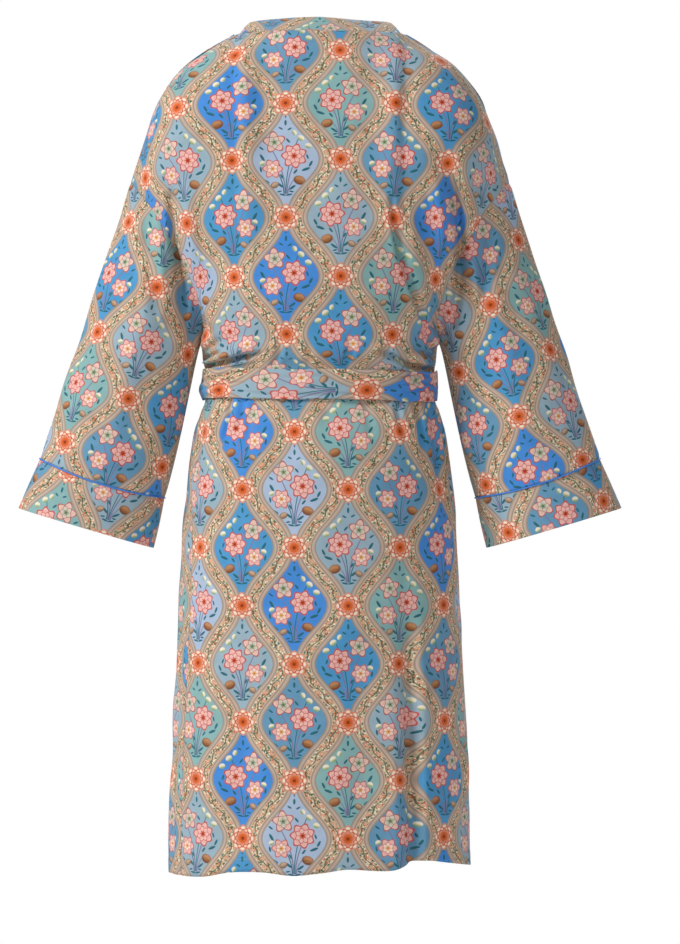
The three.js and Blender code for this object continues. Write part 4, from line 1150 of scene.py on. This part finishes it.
def ring(place, turn, side):
    """Flattened ring of a sleeve: an ellipse from its outer to its inner point, with a depth.
    The cuff's seam sags most in front and behind, by the cosine of twice the turn."""
    out_x, out_z, in_x, in_z, deep = place
    cosine, sine = np.cos(np.radians(turn)), np.sin(np.radians(turn))
    x = side * ((out_x + in_x) / 2 + (out_x - in_x) / 2 * cosine)
    z = (out_z + in_z) / 2 + (out_z - in_z) / 2 * cosine
    points = np.stack([x, -deep * sine, z], -1)
    if place is CUFF_SEAM:
        sag = CUFF_SAG * (0.5 - 0.5 * np.cos(np.radians(2 * turn)))
        points += sag[..., None] * sleeve_axis(side)
    return points


def sleeve_axis(side):
    """Direction down a sleeve, from the middle of one ring to the middle of the next."""
    run = np.subtract(SLEEVE_MOUTH, CUFF_SEAM)
    run = np.array([side * (run[0] + run[2]), 0, run[1] + run[3]])
    return run / np.linalg.norm(run)


def ring_out(turn, side):
    """Direction off the cuff's rings: the ring's own direction crossed with the sleeve's."""
    step = ring(CUFF_SEAM, turn + 2, side) - ring(CUFF_SEAM, turn - 2, side)
    out = np.cross(step, sleeve_axis(side)) * side
    return out / np.linalg.norm(out, axis=-1, keepdims=True)


def armhole(turn, side):
    """The armhole as a ring: down the back's edge to the underarm and up the front's."""
    turn = turn % 360
    rise = np.where(turn <= 180, 1 - turn / 180, turn / 180 - 1)
    share = np.full(turn.shape, float(side))
    return np.where((turn <= 180)[:, None], upper(share, rise, -1), upper(share, rise, 1))


def armhole_out(turn, side):
    """Direction off the cloth at the armhole: outwards at the shoulder, round to down below."""
    away = np.where(turn % 360 <= 180, turn % 360, 360 - turn % 360)
    cosine, sine = np.cos(np.radians(away)), np.sin(np.radians(away))
    above = np.maximum(cosine, 0)
    x = side * (0.12 * sine + 0.95 * above)
    y = np.where(turn % 360 <= 180, -1, 1) * sine
    out = np.stack([x, y, np.where(cosine > 0, 0.3 * cosine, cosine)], -1)
    return out / np.linalg.norm(out, axis=-1, keepdims=True)


turns = 180 + np.linspace(0, 360, SLEEVE_COLUMNS + 1)
back_middle = int(np.argmin(np.abs(turns - 450)))
SIDES = (("left", -1), ("right", 1))
for name, side in SIDES:
    start = armhole(turns, side)
    tangent = armhole(turns + SLEEVE_SPAN, side) - armhole(turns - SLEEVE_SPAN, side)
    leave = np.cross(tangent, armhole_out(turns, side))
    leave *= np.sign(leave @ np.array([side, 0, -0.5]))[:, None]
    leave /= np.linalg.norm(leave, axis=-1, keepdims=True)
    around = np.where(turns % 360 <= 180, turns % 360, 360 - turns % 360) / 180
    reach = read(SLEEVE_REACH, "reach", around)[:, None]
    down = sleeve_axis(side)
    end = ring(CUFF_SEAM, turns, side) - SEAM_EASE * down
    t = (np.linspace(0, 1, SLEEVE_ROWS + 1) ** 1.15)[:, None, None]
    points = cubic(start - SEAM_UNDER * leave, leave * reach, end, down * SLEEVE_PULL, t)
    outward = ring_out(turns, side)[SLEEVE_COLUMNS // 2]
    out = normals(points, outward)
    flat = flatten(points)
    flat = upright(flat, flat[-1, back_middle] - flat[SLEEVE_ROWS // 2, back_middle])
    flat -= flat[0, back_middle]
    shift_u, shift_v = SLEEVE_PRINT[name]
    uv = np.stack([-side * flat[..., 0] + shift_u, -flat[..., 1] + shift_v], -1)
    share_down = np.linspace(0, 1, SLEEVE_ROWS + 1)[:, None]
    deep = np.zeros(points.shape[:2])
    for centre, first, last, breadth, amount in SLEEVE_FOLDS[name]:
        off = ((turns[None] - centre + 540) % 360 - 180) / breadth
        along = np.clip((share_down - first) / (last - first), 0, 1)
        deep += amount * np.exp(-(off**2)) * np.sin(np.pi * along)
    from_top = arc(points.swapaxes(0, 1)).T
    deep += SEAM_TUCK * np.exp(-((from_top / SEAM_REACH) ** 2))
    ends = smooth(from_top / 8) * smooth((from_top[-1:] - from_top) / 8)
    from_seam = 180 - np.abs(turns - 360)
    deep += ripple(uv, SLEEVE_RIPPLE) * ends * smooth(from_seam / 15)
    points = armpit(points) - out * deep[..., None]
    sleeve = shell(f"sleeve_{name}", points, uv, outward, CLOTH, closed=True)
    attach(sleeve, "root")
    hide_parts(f"sleeve_{name}")

# ---------------------------------------------------------------- cuffs
# A straight band of the print, two layers deep, sewn round each sleeve's end with its print
# set independently of the sleeve's, and turned up inside at the mouth.
CUFF_CLOTH = 1.5
CUFF_ROWS = 18
CUFF_PRINT = {"left": (43, -3), "right": (332, 50)}
CUFF_WAVES = {"left": 0.6, "right": 2.2}
cuff_mouths = {}
for name, side in SIDES:
    t = np.linspace(0, 1, CUFF_ROWS + 1)[:, None, None]
    seam_ring = ring(CUFF_SEAM, turns, side)
    mouth = ring(SLEEVE_MOUTH, turns, side)
    points = seam_ring + SEAM_EASE * sleeve_axis(side) + (mouth - seam_ring) * t
    around_cuff = arc(points)
    down_cuff = np.linalg.norm(points - points[:1], axis=-1)
    shift_u, shift_v = CUFF_PRINT[name]
    from_back = around_cuff - around_cuff[:, back_middle : back_middle + 1]
    uv = np.stack([-side * from_back + shift_u, -down_cuff + shift_v], -1)
    out = np.broadcast_to(ring_out(turns, side), points.shape)
    wave = 1.2 * np.sin(np.radians(turns * 3) + CUFF_WAVES[name]) * t[..., 0] ** 2
    swell = 0.6 * np.sin(np.pi * t[..., 0]) + wave
    points = points + out * swell[..., None]
    cuff_mouths[name] = (points, out)
    away = out[0, back_middle]
    cuff = shell(f"cuff_{name}", points, uv, away, CUFF_CLOTH, closed=True, reverse=False)
    folded_edge(cuff, 0.0006)
    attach(cuff, "root")
    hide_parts(f"cuff_{name}")

# ---------------------------------------------------------------- piping
# A thin cord in bright blue satin bias tape, caught in each cuff's seam and standing proud.
PIPING_RADIUS = 0.95
PIPING_SUNK = 0.2
PIPING_SIDES = 12

piping_satin, tree = empty_material("polyester satin, blue")
where = node(tree, "ShaderNodeTexCoord", out=3)
twill = node(tree, "ShaderNodeTexNoise", where, None, 500.0, 2.0)
blue = node(tree, "ShaderNodeValToRGB", twill, stops=[(0.3, "#2F74CC"), (0.7, "#4790E4")])
gloss = node(tree, MAP, twill, 0.3, 0.7, 0.38, 0.52)
satin = node(tree, "ShaderNodeBsdfPrincipled", blue, 0.0, gloss)
node(tree, "ShaderNodeOutputMaterial", satin)


def tube(name, path, out, down, material):
    """Round cord along a closed path. Each ring is the cosine of its turn times the path's out
    direction and the sine times its down direction."""
    rings, sides = len(path) - 1, PIPING_SIDES
    around = 2 * np.pi * np.arange(sides)[:, None] / sides
    circle = np.cos(around) * out[:, None] + np.sin(around) * down[:, None]
    points = path[:, None] + PIPING_RADIUS * circle
    r, c = np.meshgrid(np.arange(rings), np.arange(sides), indexing="ij")
    corners = [(r, c), (r, c + 1), (r + 1, c + 1), (r + 1, c)]
    faces = np.stack([(i % rings * sides + j % sides).ravel() for i, j in corners], -1)
    normal = np.cross(points[0, 1] - points[0, 0], points[1, 0] - points[0, 0])
    if normal @ (points[0, 0] - path[0]) < 0:
        faces = faces[:, ::-1]
    mesh = bpy.data.meshes.new(name)
    mesh.from_pydata((points[:-1].reshape(-1, 3) / 1000).tolist(), [], faces.tolist())
    mesh.polygons.foreach_set("use_smooth", np.ones(len(faces), bool))
    mesh.materials.append(material)
    return add(f"{name}_cord", mesh)


for name, side in SIDES:
    out = ring_out(turns, side)
    down = np.broadcast_to(sleeve_axis(side), out.shape)
    path = ring(CUFF_SEAM, turns, side) + out * (PIPING_RADIUS - PIPING_SUNK)
    piping = tube(f"cuff_piping_{name}", path, out, down, piping_satin)
    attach(piping, "root")
    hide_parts(f"cuff_piping_{name}")

# ---------------------------------------------------------------- belt
# A long sash of the print cut along the grain and sewn as a flat tube. It goes once round the
# waist, is tied at the front in a flat knot, and its two ends hang down.
BELT_TOP = -410
BELT_WIDTH = 38
BELT_CLOTH = 2.6
BELT_CLEAR = 0.6
BELT_STATIONS = 300
BELT_SIDES = 76
BELT_STRETCH = 1.36
BELT_TILT = 0.016
BELT_GAIN = 1.1
BELT_BULGE = (-150, -434, 16, 9, 4.2)
# The belt's print runs along it: the cloth's place across for a height, and down for an x.
BELT_PRINT = (4 * COLUMN, -437, -3 * PERIOD, 60)
# Creases of the belt, as for the back: points (x, z), half breadth, depth.
BELT_CREASES = [
    ([(92, -421), (118, -416), (147, -418)], 1.9, 2.4),
    ([(100, -429), (124, -425), (147, -428)], 1.8, 2.2),
    ([(108, -438), (130, -434), (147, -437)], 1.8, 2.2),
    ([(-148, -424), (-128, -419), (-92, -414)], 2.0, 3.0),
    ([(-150, -434), (-132, -431), (-100, -427)], 1.8, 2.2),
    ([(-138, -444), (-126, -436), (-118, -430)], 1.8, 1.8),
    ([(-44, -441), (0, -443), (56, -442)], 1.9, 1.5),
    ([(-92, -439), (-60, -443), (-28, -442)], 1.9, 1.3),
    ([(26, -417), (60, -420), (86, -417)], 1.9, 1.3),
    ([(-60, -418), (-30, -421), (6, -419)], 2.2, 0.9),
    ([(60, -434), (84, -436), (104, -432)], 2.2, 1.1),
]


def waist(angle, away):
    """The belt's inner face: the waist's section moved out, further over the lapped fronts."""
    level = np.full(angle.shape, float(WAIST_TOP))
    inner = body(angle, level)
    step = body(angle + 2, level) - body(angle - 2, level)
    out = np.stack([-step[..., 1], step[..., 0], np.zeros(angle.shape)], -1)
    out /= np.linalg.norm(out, axis=-1, keepdims=True)
    out *= np.sign(np.sum(out * inner, axis=-1))[..., None]
    front = smooth((np.abs(angle) - 80) / 40)
    return inner + out * (BELT_CLEAR + front * WRAP_LIFT + away)[..., None]


def squared(phi, power):
    """Reach of a circle drawn out towards a square: the cosine and the sine to a power, added,
    to minus one over that power."""
    return (np.abs(np.cos(phi)) ** power + np.abs(np.sin(phi)) ** power) ** (-1 / power)


def merged(made):
    """Joins the points of a closed shell that meet, and turns its faces outwards."""
    edit = bmesh.new()
    edit.from_mesh(made.data)
    bmesh.ops.remove_doubles(edit, verts=edit.verts, dist=0.00002)
    bmesh.ops.dissolve_degenerate(edit, edges=edit.edges, dist=0.00001)
    bmesh.ops.recalc_face_normals(edit, faces=edit.faces)
    edit.to_mesh(made.data)
    edit.free()


station = np.linspace(-180, 180, BELT_STATIONS + 1)
phi = np.linspace(0, 2 * np.pi, BELT_SIDES + 1)
square = squared(phi, 5)
angle, across = np.meshgrid(station, square * np.sin(phi), indexing="ij")
thick = np.broadcast_to(square * np.cos(phi), angle.shape)
height = BELT_TOP - BELT_WIDTH / 2 + across * BELT_WIDTH / 2
middle = waist(angle, np.full(angle.shape, BELT_CLOTH / 2))
height = height - BELT_TILT * middle[..., 0] * np.where(middle[..., 1] < 0, 1, 0.3)
outer = smooth(thick * 2)
middle[..., 2] = height
sunk = BELT_GAIN * creases(middle, BELT_CREASES) * (middle[..., 1] < 0)
# The tucked strand swells the belt at its left end.
bulge_x, bulge_z, bulge_wide, bulge_tall, bulge_out = BELT_BULGE
bulge = ((middle[..., 0] - bulge_x) / bulge_wide) ** 2 + ((height - bulge_z) / bulge_tall) ** 2
soft = 0.5 * np.cos(across * np.pi / 2) + bulge_out * np.exp(-bulge)
belt_points = waist(angle, BELT_CLOTH / 2 * (1 + thick) + outer * (soft - sunk))
sway = 0.7 * np.sin(np.radians(angle * 5)) + 0.4 * np.sin(np.radians(angle * 13 + 40))
belt_points[..., 2] = height + sway
belt_run = arc(waist(station[None], np.array([[BELT_CLOTH]])))[0]
belt_run -= belt_run[BELT_STATIONS // 2]
axis_u, axis_z, axis_v, axis_x = BELT_PRINT
belt_u = axis_u + (height - axis_z) * np.where(thick > -0.2, 1, -1)
belt_v = np.broadcast_to(axis_v - (belt_run[:, None] - axis_x) / BELT_STRETCH, height.shape)
belt_uv = np.stack([belt_u, belt_v], -1)
belt_points[-1] = belt_points[0]
belt = shell("belt_wrap", belt_points, belt_uv, (0, 1, 0), 0, reverse=False)
merged(belt)
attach(belt, "root")
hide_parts("belt_wrap")

# ---------------------------------------------------------------- belt knot
# The tied knot at the front: the sash wraps over itself, gathered into soft lengthwise folds, and
# pulls in at both sides. It sits on the belt a little turned.
KNOT = {"x": -8, "width": 52, "height": 46, "depth": 26, "turn": 0.15}
KNOT_RINGS = 72
KNOT_STATIONS = 120
# Folds of the knot: place and half breadth as shares of its half width, and depth.
KNOT_FOLDS = [
    (-0.62, 0.1, 1.6), (-0.25, 0.08, 1.9), (0.12, 0.09, 1.5), (0.46, 0.08, 1.8), (0.74, 0.07, 1.2)
]

across = np.sin(np.linspace(-np.pi / 2, np.pi / 2, KNOT_RINGS + 1))
round_knot = np.linspace(0, 2 * np.pi, KNOT_STATIONS + 1)
u, v = np.meshgrid(across, round_knot, indexing="ij")
swell = np.clip(1 - np.abs(u) ** 2.6, 0, 1) ** 0.42
bent = u + 0.16 * np.sin(v)
folds = sum(deep * np.exp(-(((bent - at) / breadth) ** 2)) for at, breadth, deep in KNOT_FOLDS)
square = squared(v, 3)
deep_half, high_half = KNOT["depth"] / 2, KNOT["height"] / 2
facing = smooth(0.5 + np.sin(v))
y = square * np.sin(v) * swell * (deep_half - folds * facing)
z = square * np.cos(v) * swell * (high_half - 0.6 * folds)
x = u * KNOT["width"] / 2 + 1.5 * np.sin(v)
turned_x = KNOT["x"] + x * np.cos(KNOT["turn"]) - z * np.sin(KNOT["turn"])
turned_z = BELT_TOP - BELT_WIDTH / 2 + x * np.sin(KNOT["turn"]) + z * np.cos(KNOT["turn"])
knot_back = waist(np.array([180.0]), np.array([BELT_CLOTH]))[0, 1] + 0.6
knot_points = np.stack([turned_x, knot_back + deep_half + y, turned_z], -1)
knot_points[:, -1] = knot_points[:, 0]
knot_run = round_knot * (KNOT["height"] + KNOT["depth"]) / 2 / BELT_STRETCH
knot_uv = np.stack(np.broadcast_arrays(u * KNOT["width"] * 0.8 + 20, knot_run), -1)
knot = shell("belt_knot", knot_points, knot_uv, (0, 0, -1), 0, closed=True, reverse=False)
merged(knot)
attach(knot, "root")
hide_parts("belt_knot")

# ---------------------------------------------------------------- belt ends
# The two free ends of the sash come out under the knot, gathered there and flat below, each
# closed square by its turned-in end.
BELT_ENDS = {"belt_end_left": (-21, -18, 372), "belt_end_right": (6, 22, 338)}
END_ROWS = 130
END_SIDES = 44
END_STAND = 1.4
END_START_STAND = 13
END_GATHER = 0.55
END_FALL = 70
END_THICK = 2.2

for name, (start_x, splay, length) in BELT_ENDS.items():
    gathered = BELT_WIDTH / 2 * END_GATHER
    near = np.abs(knot_points[..., 0] - start_x) < gathered + 5
    top_z = knot_points[..., 2][near].min() - 0.5
    run = np.linspace(0, 1, END_ROWS + 1) ** 1.15 * length
    phi = np.linspace(0, 2 * np.pi, END_SIDES + 1)
    square = squared(phi, 6)
    drop, side_on = np.meshgrid(run, square * np.cos(phi), indexing="ij")
    thick = np.broadcast_to(square * np.sin(phi), drop.shape)
    settled = smooth(drop / END_FALL)
    half = gathered + (BELT_WIDTH / 2 - gathered) * settled
    x = start_x + splay * smooth(drop / (2 * END_FALL)) + half * side_on
    z = top_z - drop
    sine = np.clip(np.abs(x / read(BODY, "half", z)), 0, 1) ** (SIDE_POWER / 2)
    ground = body(180 - np.degrees(np.arcsin(sine)), z)[..., 1]
    pleat = 2.2 * np.cos(side_on * 2.2 * np.pi) * (1 - smooth(drop / (1.3 * END_FALL)))
    wave = 1.1 * np.sin(drop / 38 + side_on) * settled * smooth((length - drop + 60) / 90)
    stand_off = END_STAND + END_START_STAND * (1 - settled) + np.maximum(wave + pleat, -0.6) + 0.6
    lie = END_THICK / 2 * (1 + thick * (0.8 + 0.2 * settled))
    points = np.stack([x, ground + WRAP_LIFT + stand_off + lie, z], -1)
    uv = np.stack([side_on * BELT_WIDTH / 2 + 30 * splay, -drop / BELT_STRETCH], -1)
    rim = points[[0, -1]]
    caps = np.broadcast_to(rim.mean(axis=1, keepdims=True), rim.shape)
    points = np.concatenate([caps[:1], points, caps[1:]])
    uv = np.concatenate([uv[:1], uv, uv[-1:]])
    end = shell(name, points, uv, (1, 0, 0), 0, closed=True, reverse=False)
    merged(end)
    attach(end, "root")
    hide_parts(name)

# ---------------------------------------------------------------- stitches
# Polyester thread, a lockstitch every three millimetres: along the hem's turning, along the
# neckband's seam and round each cuff just below its piping.
STITCH = 2.3
STITCH_STEP = 3.2
THREAD = 0.32

thread, tree = empty_material("polyester sewing thread, taupe")
where = node(tree, "ShaderNodeTexCoord", out=3)
twist = node(tree, "ShaderNodeTexNoise", where, None, 900.0)
tint = node(tree, "ShaderNodeValToRGB", twist, stops=[(0.3, "#9C8C7A"), (0.7, "#B9A994")])
spun = node(tree, "ShaderNodeBsdfPrincipled", tint, 0.0, 0.6)
node(tree, "ShaderNodeOutputMaterial", spun)


def stitches(name, path, out):
    """Row of stitches: at even lengths along a path, a spindle of six points that lies along it
    and half sinks into the cloth."""
    run = arc(path[None])[0]
    at = np.arange(STITCH_STEP, run[-1] - STITCH_STEP, STITCH_STEP)
    place = sample(at, run, path)
    ahead = sample(at + 0.5, run, path) - place
    ahead /= np.linalg.norm(ahead, axis=1, keepdims=True)
    lift = sample(at, run, out)
    beside = np.cross(lift, ahead)
    tip, side, top = ahead * STITCH / 2, beside * THREAD, lift * THREAD
    points = place[:, None] + np.stack([-tip, side, top, -side, -top, tip], axis=1)
    ends = [(0, 2, 1), (0, 3, 2), (0, 4, 3), (0, 1, 4), (5, 1, 2), (5, 2, 3), (5, 3, 4), (5, 4, 1)]
    faces = (np.array(ends) + 6 * np.arange(len(at))[:, None, None]).reshape(-1, 3)
    mesh = bpy.data.meshes.new(name)
    mesh.from_pydata((points.reshape(-1, 3) / 1000).tolist(), [], faces.tolist())
    mesh.materials.append(thread)
    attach(add(name, mesh), "root")


def row_at(points, out, height):
    """Where a grid's columns reach a height above their lowest point, and the way out there."""
    rise = np.linalg.norm(np.diff(points, axis=0), axis=-1).cumsum(axis=0)
    row = np.argmin(np.abs(rise - height), axis=0) + 1
    columns = np.arange(points.shape[1])
    return points[row, columns], out[row, columns]


stitches("hem_stitches_back", *row_at(back_points, back_out, HEM_TURN))
for name, front in fronts.items():
    stitches(f"hem_stitches_{name}", *row_at(front["points"], front["out"], HEM_TURN))
for name, (mouth_points, mouth_out) in cuff_mouths.items():
    stitches(f"cuff_stitches_{name}", mouth_points[1], mouth_out[1])
beside_seam = 0.45 * band_points[:, 0] + 0.55 * band_points[:, 1]
stitches("neckband_stitches", beside_seam, band_out[:, 1])

solid_box = [list(corner) for corner in solid_box]
